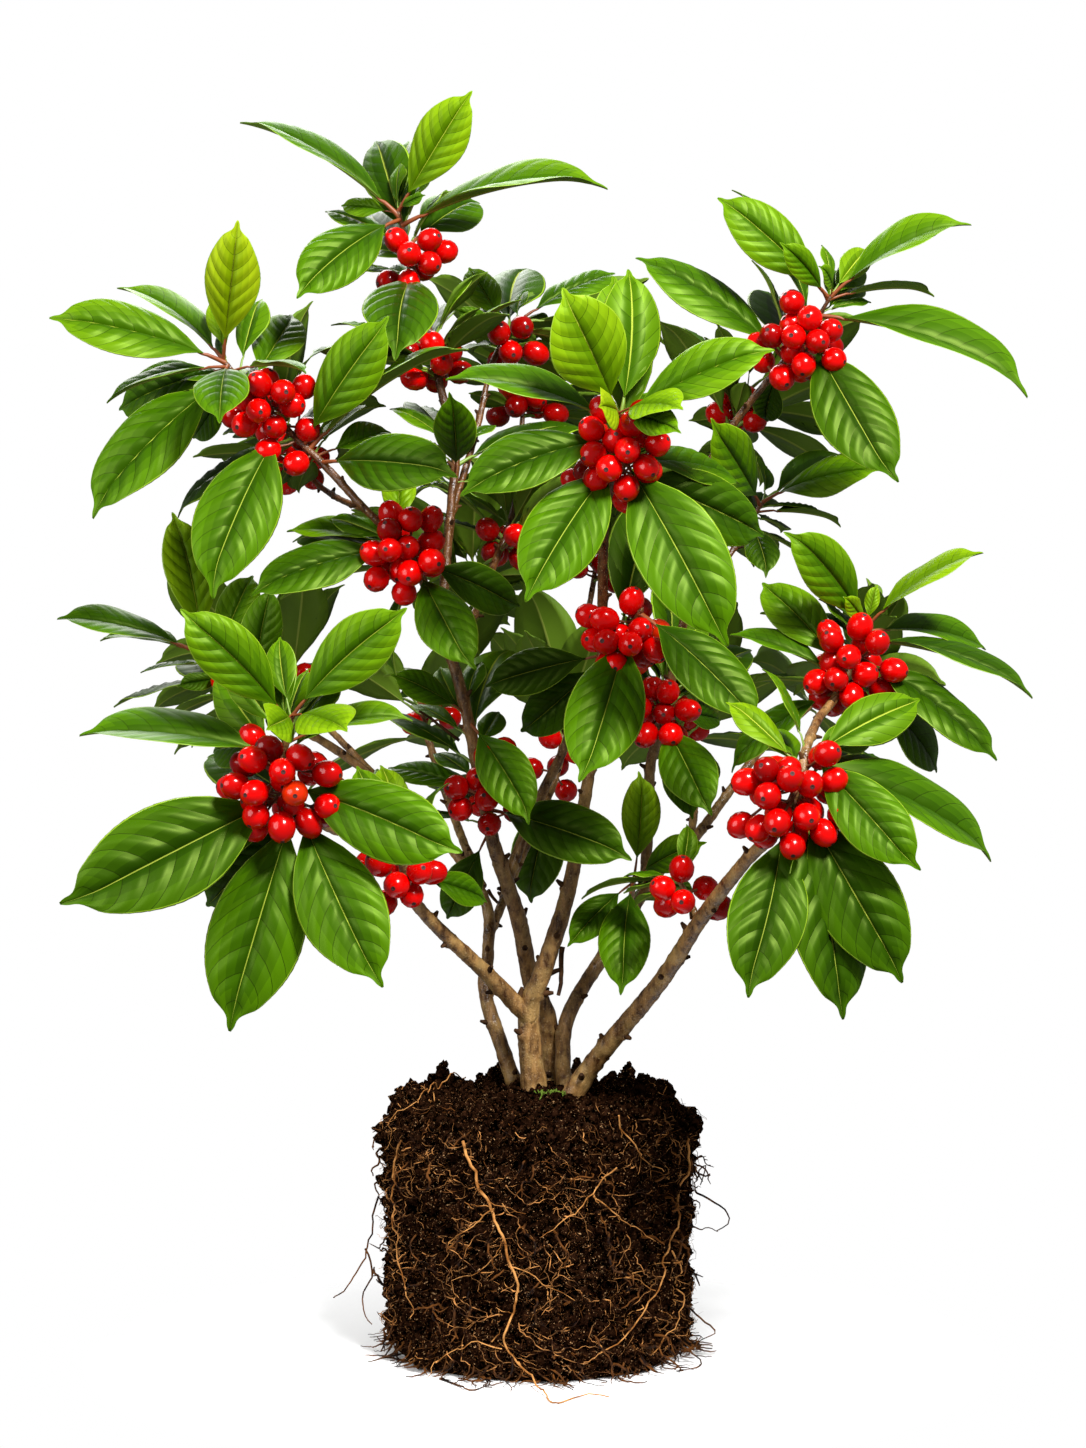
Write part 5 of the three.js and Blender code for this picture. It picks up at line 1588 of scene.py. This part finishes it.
def soil_material():
    """Moist bark-based potting mix: nearly black, with brown fibres of bark in it."""
    return patterned_material(
        plain_material("moist bark potting mix", "#0d0603", 0.95, Specular_IOR_Level=0.0),
        noises=(
            Noise("crumbs", 3.0, 4.0, 0.65), Noise("specks", 1.1, 2.0, 0.6), Noise("bits", 1.3, 2.0, 0.7),
            Noise("beds", 9.0, 3.0),
        ),
        shares=(
            Share("damp", "crumbs", 0.42, 0.68), Share("rich", "beds", 0.4, 0.6, 0.15, 1.0),
            Share("below the top", "height", 0.121, 0.1, 0.55, 1.0),
            Share("strewn", "rich", 0.0, 1.0, 0.0, "below the top"),
            Share("speckled", "specks", 0.62, 0.7, 0.0, "strewn"),
            Share("dotted", "bits", 0.64, 0.7, 0.0, "strewn"),
            Share("roughness", "crumbs", 0.3, 0.7, 0.98, 0.8),
        ),
        colours=(
            Colour("peat", "#000000", "#28160c", "damp"),
            Colour("barky", "peat", "#7a4e2c", "speckled"),
            Colour("shown", "barky", "#c79b6c", "dotted"),
        ),
        bump=Bump(("specks",), 0.7, 0.8),
    )


def crumb_tree():
    """Strews crumbs over the upper and outer sides of a surface."""
    tree, given = geometry_tree(
        "strew crumbs", Density="Float", Smallest="Float", Largest="Float", Lowest="Float",
        Seed="Int", Finish="Material",
    )
    place = add_node(tree, "GeometryNodeInputPosition").outputs[0]
    height = add_node(tree, "ShaderNodeSeparateXYZ", {"Vector": place}).outputs["Z"]
    is_up = add_node(tree, "FunctionNodeCompare", {
        "A": height, "B": given["Lowest"],
    }, data_type="FLOAT", operation="GREATER_THAN")
    strewn = add_node(tree, "GeometryNodeDistributePointsOnFaces", {
        "Mesh": given["Geometry"], "Selection": is_up.outputs["Result"],
        "Density": given["Density"], "Seed": given["Seed"],
    })
    size, squash, spin = (
        add_node(tree, "FunctionNodeRandomValue", {**ends, "Seed": given["Seed"]}, data_type=kind)
        for kind, ends in (
            ("FLOAT", {2: given["Smallest"], 3: given["Largest"]}),
            ("FLOAT_VECTOR", {0: CRUMB_SHAPES[0], 1: CRUMB_SHAPES[1]}),
            ("FLOAT_VECTOR", {0: (0, 0, 0), 1: (6.28, 6.28, 6.28)}),
        )
    )
    scale = add_node(tree, "ShaderNodeVectorMath", {
        0: squash.outputs[0], "Scale": size.outputs[1],
    }, operation="SCALE")
    crumb = add_node(tree, "GeometryNodeMeshIcoSphere", {"Radius": 1.0, "Subdivisions": 1})
    placed = add_node(tree, "GeometryNodeInstanceOnPoints", {
        "Points": strewn.outputs["Points"], "Instance": crumb.outputs["Mesh"],
        "Rotation": spin.outputs[0], "Scale": scale.outputs[0],
    })
    return end_tree(tree, placed.outputs["Instances"], [(given["Finish"], True)])


def build_crumbs(settings, soil):
    """Loose crumbs all over the ball, and fewer, larger clods round its upper edge."""
    tree = crumb_tree()
    least, most = settings.smallest, settings.largest
    clods = CLODS_A_CRUMB * settings.density
    for name, density, smallest, largest, lowest, seed in (
        ("soil_crumbs", settings.density, least, most, CRUMBS_FROM, settings.seed),
        ("soil_clods", clods, most, LARGEST_CLOD * most, CLODS_FROM, settings.seed + 1),
    ):
        piece = from_nodes(
            add_object(f"ground of {name}", soil.data), tree, name, density=density, smallest=smallest,
            largest=largest, lowest=lowest, seed=seed, finish=soil.data.materials[0],
        )
        hand_over(piece, ["root_ball"])


# Roots

# Laid over the photo, in its pixels from the upper left corner, and put on the ball
MAIN_ROOTS = (
    (1.5, ((466, 1143), (491, 1207), (508, 1251), (517, 1283), (511, 1322), (505, 1348), (526, 1369),
           (543, 1395), (555, 1405), (579, 1398), (609, 1399))),
    (1.3, ((684, 1134), (677, 1204), (667, 1251), (652, 1289), (634, 1322), (614, 1342), (593, 1358))),
    (0.9, ((670, 1251), (678, 1295), (667, 1333), (646, 1357))),
    (1.1, ((401, 1140), (398, 1193), (401, 1239), (410, 1283), (413, 1319))),
    (0.8, ((617, 1125), (640, 1157), (655, 1169))),
    (0.8, ((614, 1166), (590, 1195), (567, 1216), (543, 1237))),
    (0.7, ((590, 1195), (617, 1216), (649, 1239))),
    (0.7, ((496, 1207), (478, 1222), (458, 1239), (444, 1263))),
    (0.5, ((506, 1236), (498, 1256), (478, 1272), (460, 1279))),
    (0.45, ((489, 1205), (505, 1207), (524, 1215))),
    (0.7, ((468, 1084), (440, 1092), (415, 1105), (397, 1122), (391, 1150))),
    (0.6, ((512, 1262), (535, 1275), (552, 1290), (575, 1296))),
    (0.6, ((505, 1348), (480, 1342), (455, 1350), (436, 1362), (428, 1382))),
    (0.5, ((652, 1289), (630, 1278), (607, 1280))),
)
LOOSE_STRANDS = (
    (0.55, ((376, 1200), (367, 1251), (347, 1286), (328, 1300))),
    (0.45, ((367, 1251), (372, 1280), (362, 1300), (370, 1327))),
    (0.5, ((690, 1190), (708, 1200), (730, 1219), (714, 1232))),
    (0.45, ((688, 1180), (706, 1165), (700, 1185))),
    (0.5, ((680, 1300), (715, 1329), (690, 1345))),
    (0.5, ((676, 1340), (703, 1367), (680, 1372))),
    (0.5, ((440, 1380), (470, 1392), (500, 1384))),
)
PIXEL = 0.48  # millimetres on the measuring plane
PHOTO_CENTRE = (543, 724)
LOOSE_DEPTH = -18.0  # where a strand lies that is neither on the ball nor on the floor
LAID = 0.8  # how far a laid root's middle is off the ball or the floor
MAIN_THICKNESS = 0.42  # over the radius that the table gives a main root
LOOSE_THICKNESS = 1.1  # the same for a loose strand
LOWEST_RUN = 0.235  # fine roots creep between these runs of the ball's skin
HIGHEST_RUN = 0.79
CREEP_STEP = 2.0
CREEP_TURN = 0.42  # how much a root turns at each step, in radians
WIRY_STEP = 1.7
WIRY_TURN = 0.42
FRINGE_STEP = 1.6
FRINGE_TURN = 0.4
LIFTED_SHARE = 0.3  # this share of the fine roots ends well off the ball
SIDE_ROOT_SHARE = 0.22  # this share of a wiry root's steps has a side root
MOSS_TUFTS = 120
MOSS_PATCH = (1.0, 12.0), (-19.0, -12.0)


def on_the_ball(pixel_x, pixel_y):
    """The place on the ball, or on the floor before it, where a photo pixel looks."""
    x = EYE_X + (pixel_x - PHOTO_CENTRE[0]) * PIXEL
    z = EYE_Z - (pixel_y - PHOTO_CENTRE[1]) * PIXEL
    for depth in np.arange(-BALL_TOP_RADIUS - 6, BALL_TOP_RADIUS, 0.5):
        place = seen(x, z, depth)
        level = min(max(place[2] / BALL_HEIGHT, 0), 1)
        skin = body_radius(level) + ball_crumb(math.atan2(place[1], place[0]), level)
        if LAID <= place[2] <= BALL_HEIGHT + 1 and math.hypot(place[0], place[1]) < skin + LAID:
            return place
    if z < 0:
        floor_depth = EYE_DISTANCE * EYE_Z / (EYE_Z - z) - EYE_DISTANCE
        return seen(x, z, floor_depth) + np.array((0, 0, LAID))
    return seen(x, z, LOOSE_DEPTH)


def smooth_path(points, rng, wander, step=2.5, lowest=0.6):
    """A smooth path through points, with places about a step apart, that wanders a little."""
    points = np.asarray(points, dtype=float)
    ends = np.concatenate(([2 * points[0] - points[1]], points, [2 * points[-1] - points[-2]]))
    path = []
    for i, way in enumerate(np.linalg.norm(np.diff(points, axis=0), axis=1)):
        count = max(int(way / step), 1)
        path.extend(curve_place(ends[i:i + 4], k / count) for k in range(count))
    path = np.array((*path, points[-1]))
    shake = rng.normal(0, wander, path.shape)
    shake[1:-1] = (shake[:-2] + shake[1:-1] + shake[2:]) / 3
    path += shake
    path[:, 2] = np.maximum(path[:, 2], lowest)
    return path


def tapered(points, radius, least, most=1.0):
    """A strand that thins towards its end, with shares of a radius at its foot and at its end."""
    return Strand(points, radius * np.linspace(most, least, len(points)))


def over_soil(points, heights):
    """Moves points on the ball's smooth skin out to heights over its crumbly one."""
    on_top = np.clip((points[:, 2] - BALL_HEIGHT + 9) / 9, 0, 1)
    outward = points * np.array((1, 1, 0.0))
    outward *= ((1 - on_top) / np.maximum(np.linalg.norm(outward, axis=1), 1.0))[:, None]
    outward[:, 2] = on_top
    relief = np.array([soil_relief(point) for point in points])
    highest = np.maximum(relief, np.maximum(np.roll(relief, 1), np.roll(relief, -1)))
    return points + outward * (np.where(heights > 1, highest, relief) + heights)[:, None]


def creep(rng, angle, run, heading, length, lift):
    """A fine root that creeps over the ball's skin and lifts off it, and its places on the skin."""
    marks = []
    for _ in range(max(int(length / CREEP_STEP), 3)):
        marks.append((angle, run, heading))
        heading += rng.normal(0, CREEP_TURN)
        angle += math.cos(heading) * CREEP_STEP / BALL_TOP_RADIUS
        run = min(max(run + math.sin(heading) * CREEP_STEP / 300.0, LOWEST_RUN), HIGHEST_RUN)
    angles, runs, _ = np.array(marks).T
    points = ball_place(angles, runs)
    along = np.linspace(0, 1, len(points))
    waves = 0.4 + 0.7 * np.sin(math.pi * rng.uniform(0.6, 2.4) * along + rng.uniform(0, 3))
    points = over_soil(points, waves + lift * along ** 1.4)
    points += rng.normal(0, 0.25, points.shape) * (1 + lift / 6 * along)[:, None]
    points[:, 2] = np.maximum(points[:, 2], 0.5)
    return points, marks


def fibre(rng, shortest, longest, highest, radius, forks):
    """A fine root with its side roots, mostly growing downwards."""
    length = rng.uniform(shortest, longest)
    lift = rng.uniform(0.3, 1.0) * highest if rng.random() < LIFTED_SHARE else rng.uniform(-0.8, 1.2)
    start = (rng.uniform(0, 2 * math.pi), rng.uniform(0.27, 0.76), rng.normal(-math.pi / 2, 0.9))
    points, marks = creep(rng, *start, length, lift)
    strands = [tapered(points, radius, 0.35)]
    for _ in range(forks):
        angle, run, heading = marks[rng.integers(0, len(marks))]
        side = heading + rng.choice((-1, 1)) * rng.uniform(0.5, 1.1)
        points, _ = creep(rng, angle, run, side, length * rng.uniform(0.25, 0.6), rng.uniform(0, 3))
        strands.append(tapered(points, 0.65 * radius, 0.35))
    return strands


def rootlets(rng, path):
    """Short fine side roots that creep over the ball from places on a main root."""
    runs = np.linspace(0.0, 1.0, 200)
    heights = ball_place(np.zeros_like(runs), runs)[:, 2]
    strands = []
    for foot in path[2:-2:5]:
        run = min(np.interp(foot[2], heights, runs), HIGHEST_RUN)
        length = rng.uniform(6.0, 20.0)
        points, _ = creep(rng, math.atan2(foot[1], foot[0]), run, rng.uniform(0, 2 * math.pi), length, 0.6)
        strands.append(tapered(points, rng.uniform(0.2, 0.34), 0.4))
    return strands


def foot_fringe(rng, radius):
    """A fine root that leaves the foot of the ball and runs out over the floor."""
    angle = rng.uniform(0, 2 * math.pi)
    heading = angle + rng.normal(0, 0.7)
    x, y = (BALL_FOOT_RADIUS - 1) * math.cos(angle), (BALL_FOOT_RADIUS - 1) * math.sin(angle)
    height = rng.uniform(1.0, 14.0)
    points = []
    for _ in range(rng.integers(6, 15)):
        points.append((x, y, max(height, radius)))
        heading += rng.normal(0, FRINGE_TURN)
        x += FRINGE_STEP * math.cos(heading)
        y += FRINGE_STEP * math.sin(heading)
        height = 0.72 * height + rng.uniform(0, 0.6)
    return tapered(points, radius, 0.4)


def wiry_root(rng, radius):
    """A stiff, kinked root that stands out of the side of the ball, with short side roots."""
    angle = rng.uniform(0, 2 * math.pi)
    here = ball_place(angle, rng.uniform(0.25, 0.68))
    heading = 1.4 * np.array((math.cos(angle), math.sin(angle), -0.2)) + rng.normal(0, 0.5, 3)
    points = [here - 1.5 * np.array((math.cos(angle), math.sin(angle), 0.0))]
    lowest = radius + 0.3
    strands = []
    for _ in range(rng.integers(5, 15)):
        heading = heading / np.linalg.norm(heading) + rng.normal(0, WIRY_TURN, 3) - (0, 0, 0.1)
        here = here + WIRY_STEP * heading / np.linalg.norm(heading)
        here[2] = max(here[2], lowest)
        points.append(here)
        if rng.random() < SIDE_ROOT_SHARE:
            side = heading + rng.normal(0, 0.9, 3)
            side *= rng.uniform(2, 5) / np.linalg.norm(side)
            bend = here + 0.5 * side + rng.normal(0, 0.3, 3)
            side_points = np.maximum([here, bend, here + side], (-np.inf, -np.inf, lowest))
            strands.append(Strand(side_points, 0.6 * radius * np.array((1.0, 0.8, 0.5))))
    return [*strands, tapered(points, radius, 0.5, 1.1)]


def woody_material(name, clean, soiled):
    """Thin woody growth: tan where it is rubbed clean, darker where soil or age has stained it."""
    return patterned_material(
        plain_material(name, clean, 0.7, Specular_IOR_Level=0.12),
        noises=[Noise("stains", 7.0, 2.0)],
        shares=[Share("clean", "stains", 0.38, 0.6)],
        colours=[Colour("shown", soiled, clean, "clean")],
    )


def build_moss(rng):
    """Tufts of moss on the soil between the feet of the stems."""
    tufts = []
    for _ in range(MOSS_TUFTS):
        foot = np.array((*(rng.uniform(*ends) for ends in MOSS_PATCH), BALL_HEIGHT + 1.0))
        lean = np.append(rng.normal(0, 0.5, 2), 1.0)
        tufts.append(Strand([foot, foot + lean * rng.uniform(1.5, 4.5)], (0.8, 0.3)))
    moss = plain_material("cushion moss", "#566f08", 0.8)
    hand_over(strands_piece("moss", tufts, moss, 4), ["root_ball"])


def build_roots(settings):
    rng = np.random.default_rng(settings.seed)
    main, loose = [], []
    for radius, route in MAIN_ROOTS + LOOSE_STRANDS:
        path = smooth_path([on_the_ball(*pixel) for pixel in route], rng, wander=0.85)
        body = body_radius(path[:, 2] / BALL_HEIGHT)
        on_skin = (np.hypot(path[:, 0], path[:, 1]) < body + 5) & (path[:, 2] > 2)
        path = np.where(on_skin[:, None], over_soil(path, np.full(len(path), 1.01)), path)
        if on_skin.mean() > 0.5:
            main.append(tapered(path, MAIN_THICKNESS * radius, 0.45, 1.15))
            main.extend(rootlets(rng, path[on_skin]))
        else:
            loose.append(tapered(path, LOOSE_THICKNESS * radius, 0.5))
    fine, finest = [], []
    # how many, their shortest and longest length, how far their ends lift off, and their radii
    for strands, count, *lengths, radii in (
        (fine, settings.fibres, 10, settings.longest / MM, 5, (0.14, 0.32)),
        (finest, settings.finest, 5, 22, 3, (0.12, 0.24)),
    ):
        for _ in range(count):
            strands.extend(fibre(rng, *lengths, rng.uniform(*radii), rng.integers(0, 3)))
    finest.extend(loose)
    for _ in range(settings.fringe):
        finest.append(foot_fringe(rng, rng.uniform(0.32, 0.66)))
        finest.extend(wiry_root(rng, rng.uniform(0.4, 0.78)))
    for name, strands, sides, finish in (
        ("main_roots", main, 7, woody_material("clean woody root", "#cc9050", "#83501f")),
        ("fine_roots", fine, 4, woody_material("fine fibrous root", "#c4864a", "#2e1708")),
        ("finest_roots", finest, 4, woody_material("soiled fine root", "#613811", "#140702")),
    ):
        piece = strands_piece(name, strands, finish, sides, settings.thickness)
        hand_over(piece, ["root_ball"])
    build_moss(rng)


# Studio

WHITE = (1.0, 1.0, 1.0, 1.0)
MIRRORED_SHARE = 0.4  # how strong the surroundings are in a gloss, over their light
AIM = Vector((0, 0, 0.33))
FLOOR_FADE = (0.24, 0.09)  # the floor is gone, and begins to fade, at these shares of its radius

# The lights, as (name, place in metres, size in metres, power in watts)
LIGHTS = (
    ("key", (0.5, -1.0, 1.4), 0.4, 52.0),
    ("fill", (-0.9, -0.8, 0.7), 0.9, 11.0),
    ("rear", (-0.3, 0.9, 1.2), 0.8, 9.0),
)


def build_floor(radius):
    """A pale floor that melts into the white background at its edge."""
    sides = 96
    turns = [2 * math.pi * i / sides for i in range(sides)]
    rim = [(radius * math.cos(turn), radius * math.sin(turn), 0.0) for turn in turns]
    mesh = bpy.data.meshes.new("floor")
    mesh.from_pydata([(0.0, 0.0, 0.0), *rim], [], [(0, 1 + i, 1 + (i + 1) % sides) for i in range(sides)])
    material = bpy.data.materials.new("matte white paper floor")
    material.use_nodes = True
    tree = material.node_tree
    tree.nodes.clear()
    place = add_node(tree, "ShaderNodeTexCoord").outputs["Object"]
    away = add_node(tree, "ShaderNodeVectorMath", {0: place}, operation="LENGTH").outputs["Value"]
    solid = add_node(tree, "ShaderNodeMapRange", {
        "Value": away, "From Min": FLOOR_FADE[0] * radius, "From Max": FLOOR_FADE[1] * radius,
    })
    paper = add_node(tree, "ShaderNodeBsdfDiffuse", {"Color": WHITE})
    nothing = add_node(tree, "ShaderNodeBsdfTransparent")
    mixed = add_node(tree, "ShaderNodeMixShader", {
        0: solid.outputs["Result"], 1: nothing.outputs[0], 2: paper.outputs[0],
    })
    add_node(tree, "ShaderNodeOutputMaterial", {"Surface": mixed.outputs[0]})
    mesh.materials.append(material)
    add_object("floor", mesh)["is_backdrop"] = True


def build_world(ambient_strength):
    """White to the camera, and a weaker white for the light that it throws on the bush."""
    world = bpy.data.worlds.new("studio")
    bpy.context.scene.world = world
    world.use_nodes = True
    tree = world.node_tree
    tree.nodes.clear()
    path = add_node(tree, "ShaderNodeLightPath").outputs
    shown, ambient, mirrored = (
        add_node(tree, "ShaderNodeBackground", {"Color": WHITE, "Strength": strength}).outputs[0]
        for strength in (1.0, ambient_strength, MIRRORED_SHARE * ambient_strength)
    )
    lighting = add_node(tree, "ShaderNodeMixShader", {0: path["Is Glossy Ray"], 1: ambient, 2: mirrored})
    mixed = add_node(tree, "ShaderNodeMixShader", {
        0: path["Is Camera Ray"], 1: lighting.outputs[0], 2: shown,
    })
    add_node(tree, "ShaderNodeOutputWorld", {"Surface": mixed.outputs[0]})


def add_light(name, place, size, power):
    data = bpy.data.lights.new(name, "AREA")
    data.shape = "DISK"
    data.size = size
    data.energy = power
    light = add_object(name, data)
    light.location = place
    light.rotation_euler = (AIM - Vector(place)).to_track_quat("-Z", "Y").to_euler()


def build_camera(lens):
    data = bpy.data.cameras.new("camera")
    data.lens = lens
    data.sensor_width = 36.0
    camera = add_object("camera", data)
    camera.location = (EYE_X * MM, -EYE_DISTANCE * MM, EYE_Z * MM)
    camera.rotation_euler = (math.radians(90), 0, 0)
    bpy.context.scene.camera = camera


# Settings

LENGTH = {"precision": 4, "subtype": "DISTANCE", "unit": "LENGTH"}
SHARE = {"subtype": "FACTOR"}


def setting(name, description, default, low, high, **unit_or_subtype):
    """A whole number or a length, share or other number that a user can change."""
    kind = bpy.props.IntProperty if isinstance(default, int) else bpy.props.FloatProperty
    return kind(name=name, description=description, default=default, min=low, max=high, **unit_or_subtype)


class BushLeafSettings(bpy.types.PropertyGroup):
    finer: setting("Finer leaves", "Smaller leaves added to a shoot that faces the front", 8, 0, 20)
    finer_all_round: setting("Finer leaves behind", "Smaller leaves added to a shoot behind", 8, 0, 30)


class BushStalkSettings(bpy.types.PropertyGroup):
    leaf_radius: setting("Leaf stalk", "Radius of a full-size leaf's stalk", 0.0011, 0.0, 0.01, **LENGTH)


class BushBerrySettings(bpy.types.PropertyGroup):
    radius: setting("Radius", "Radius of a berry", BERRY_RADIUS * MM, 0.001, 0.02, **LENGTH)
    sides: setting("Sides", "Faces round a berry", 14, 6, 32)
    seed: setting("Seed", "Start of the random tints and shapes", 4, 0, 1000)


class BushBarkSettings(bpy.types.PropertyGroup):
    row: setting("Row", "Distance between rings of a stem's skin", 0.0016, 0.0005, 0.02, **LENGTH)
    sides: setting("Sides", "Faces round a stem", 16, 6, 48)
    relief: setting("Relief", "Depth of the grain of the bark", 0.6, 0.0, 2.0, **SHARE)
    joint: setting("Joints", "Distance between leaf scars", 0.014, 0.005, 0.1, **LENGTH)


class BushSoilSettings(bpy.types.PropertyGroup):
    columns: setting("Columns", "Faces round the root ball", 260, 24, 720)
    rows: setting("Rows", "Faces from its underside to its top", 170, 16, 400)
    relief: setting("Relief", "Depth of the crumbly surface", 1.0, 0.0, 3.0, **SHARE)
    density: setting("Crumbs", "Loose crumbs on a square metre", 75000.0, 0.0, 1e6)
    smallest: setting("Smallest crumb", "Radius of the smallest crumb", 0.0005, 0.0, 0.01, **LENGTH)
    largest: setting("Largest crumb", "Radius of the largest crumb", 0.0014, 0.0, 0.02, **LENGTH)
    seed: setting("Seed", "Start of the random places of the crumbs", 5, 0, 1000)


class BushRootSettings(bpy.types.PropertyGroup):
    fibres: setting("Fibres", "Fine roots on the ball", 340, 0, 4000)
    finest: setting("Finest", "Short, soiled roots on the ball", 600, 0, 9000)
    fringe: setting("Fringe", "Stiff roots at the foot of the ball, and at its sides", 165, 0, 1000)
    longest: setting("Longest", "Length of the longest fine root", 0.06, 0.01, 0.3, **LENGTH)
    thickness: setting("Thickness", "Thickness of all roots over the measured one", 1.0, 0.1, 3.0, **SHARE)
    seed: setting("Seed", "Start of the random paths", 11, 0, 1000)


class BushStageSettings(bpy.types.PropertyGroup):
    lens: setting("Lens", "Focal length in millimetres", 67.3, 20.0, 300.0)
    floor: setting("Floor", "Radius of the floor", 0.9, 0.1, 5.0, **LENGTH)
    ambient: setting("Ambient", "Strength of the light from all round", 0.39, 0.0, 3.0, **SHARE)


# Operators


class BUSH_OT_soil(bpy.types.Operator):
    """Builds the root ball's crumbly soil and its loose crumbs"""
    bl_idname = "bush.soil"
    bl_label = "Soil"

    def execute(self, context):
        soil = build_soil(context.scene.bush_soil)
        build_crumbs(context.scene.bush_soil, soil)
        return {"FINISHED"}


class BUSH_OT_roots(bpy.types.Operator):
    """Lays the main roots and the fine fibres on the ball"""
    bl_idname = "bush.roots"
    bl_label = "Roots"

    def execute(self, context):
        build_roots(context.scene.bush_roots)
        return {"FINISHED"}


class BUSH_OT_bark(bpy.types.Operator):
    """Covers every branch with bark from its foot to its bud"""
    bl_idname = "bush.bark"
    bl_label = "Bark"

    def execute(self, context):
        lines, _ = crown_of(context)
        build_bark(context.scene.bush_bark, lines)
        return {"FINISHED"}


class BUSH_OT_leaves(bpy.types.Operator):
    """Grows the sprays of leaves"""
    bl_idname = "bush.leaves"
    bl_label = "Leaves"

    def execute(self, context):
        _, sprays = crown_of(context)
        materials = leaf_materials()
        for name, some in leaf_groups(sprays).items():
            build_leaves(f"leaves_{name}", some, materials)
        return {"FINISHED"}


class BUSH_OT_stalks(bpy.types.Operator):
    """Joins the leaves and the berries to their stems by stalks"""
    bl_idname = "bush.stalks"
    bl_label = "Stalks"

    def execute(self, context):
        _, sprays = crown_of(context)
        build_stalks(context.scene.bush_stalks, sprays)
        return {"FINISHED"}


class BUSH_OT_berries(bpy.types.Operator):
    """Hangs the berries"""
    bl_idname = "bush.berries"
    bl_label = "Berries"

    def execute(self, context):
        _, sprays = crown_of(context)
        build_berries(context.scene.bush_berries, sprays)
        return {"FINISHED"}


class BUSH_OT_stage(bpy.types.Operator):
    """Sets the floor, the lights and the camera"""
    bl_idname = "bush.stage"
    bl_label = "Stage"

    def execute(self, context):
        settings = context.scene.bush_stage
        build_floor(settings.floor)
        build_world(settings.ambient)
        for light in LIGHTS:
            add_light(*light)
        build_camera(settings.lens)
        context.scene.view_settings.view_transform = "Standard"
        return {"FINISHED"}


class BUSH_PT_sidebar(bpy.types.Panel):
    """Lists the steps and their settings"""
    bl_idname = "BUSH_PT_sidebar"
    bl_label = "Berry bush"
    bl_space_type = "VIEW_3D"
    bl_region_type = "UI"
    bl_category = "Bush"

    def draw(self, context):
        for operator, name, settings in STEPS:
            box = self.layout.box()
            box.operator(operator.bl_idname)
            for key in settings.__annotations__:
                box.prop(getattr(context.scene, name), key)


# The steps in order: what builds a group of pieces, and the scene's name for its settings
STEPS = (
    (BUSH_OT_soil, "bush_soil", BushSoilSettings),
    (BUSH_OT_roots, "bush_roots", BushRootSettings),
    (BUSH_OT_bark, "bush_bark", BushBarkSettings),
    (BUSH_OT_leaves, "bush_leaves", BushLeafSettings),
    (BUSH_OT_stalks, "bush_stalks", BushStalkSettings),
    (BUSH_OT_berries, "bush_berries", BushBerrySettings),
    (BUSH_OT_stage, "bush_stage", BushStageSettings),
)


def register():
    for operator, name, settings in STEPS:
        bpy.utils.register_class(settings)
        setattr(bpy.types.Scene, name, bpy.props.PointerProperty(type=settings))
        bpy.utils.register_class(operator)
    bpy.utils.register_class(BUSH_PT_sidebar)


def unregister():
    bpy.utils.unregister_class(BUSH_PT_sidebar)
    for operator, name, settings in reversed(STEPS):
        bpy.utils.unregister_class(operator)
        delattr(bpy.types.Scene, name)
        bpy.utils.unregister_class(settings)


def main():
    register()
    bpy.ops.bush.soil()
    bpy.ops.bush.roots()
    bpy.ops.bush.bark()
    bpy.ops.bush.leaves()
    bpy.ops.bush.stalks()
    bpy.ops.bush.berries()
    bpy.ops.bush.stage()
    boxes = {"cad": cad_box, "shown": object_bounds()}
    sizes = {name: [list(corner) for corner in box] for name, box in boxes.items()}


if __name__ == "__main__":
    main()
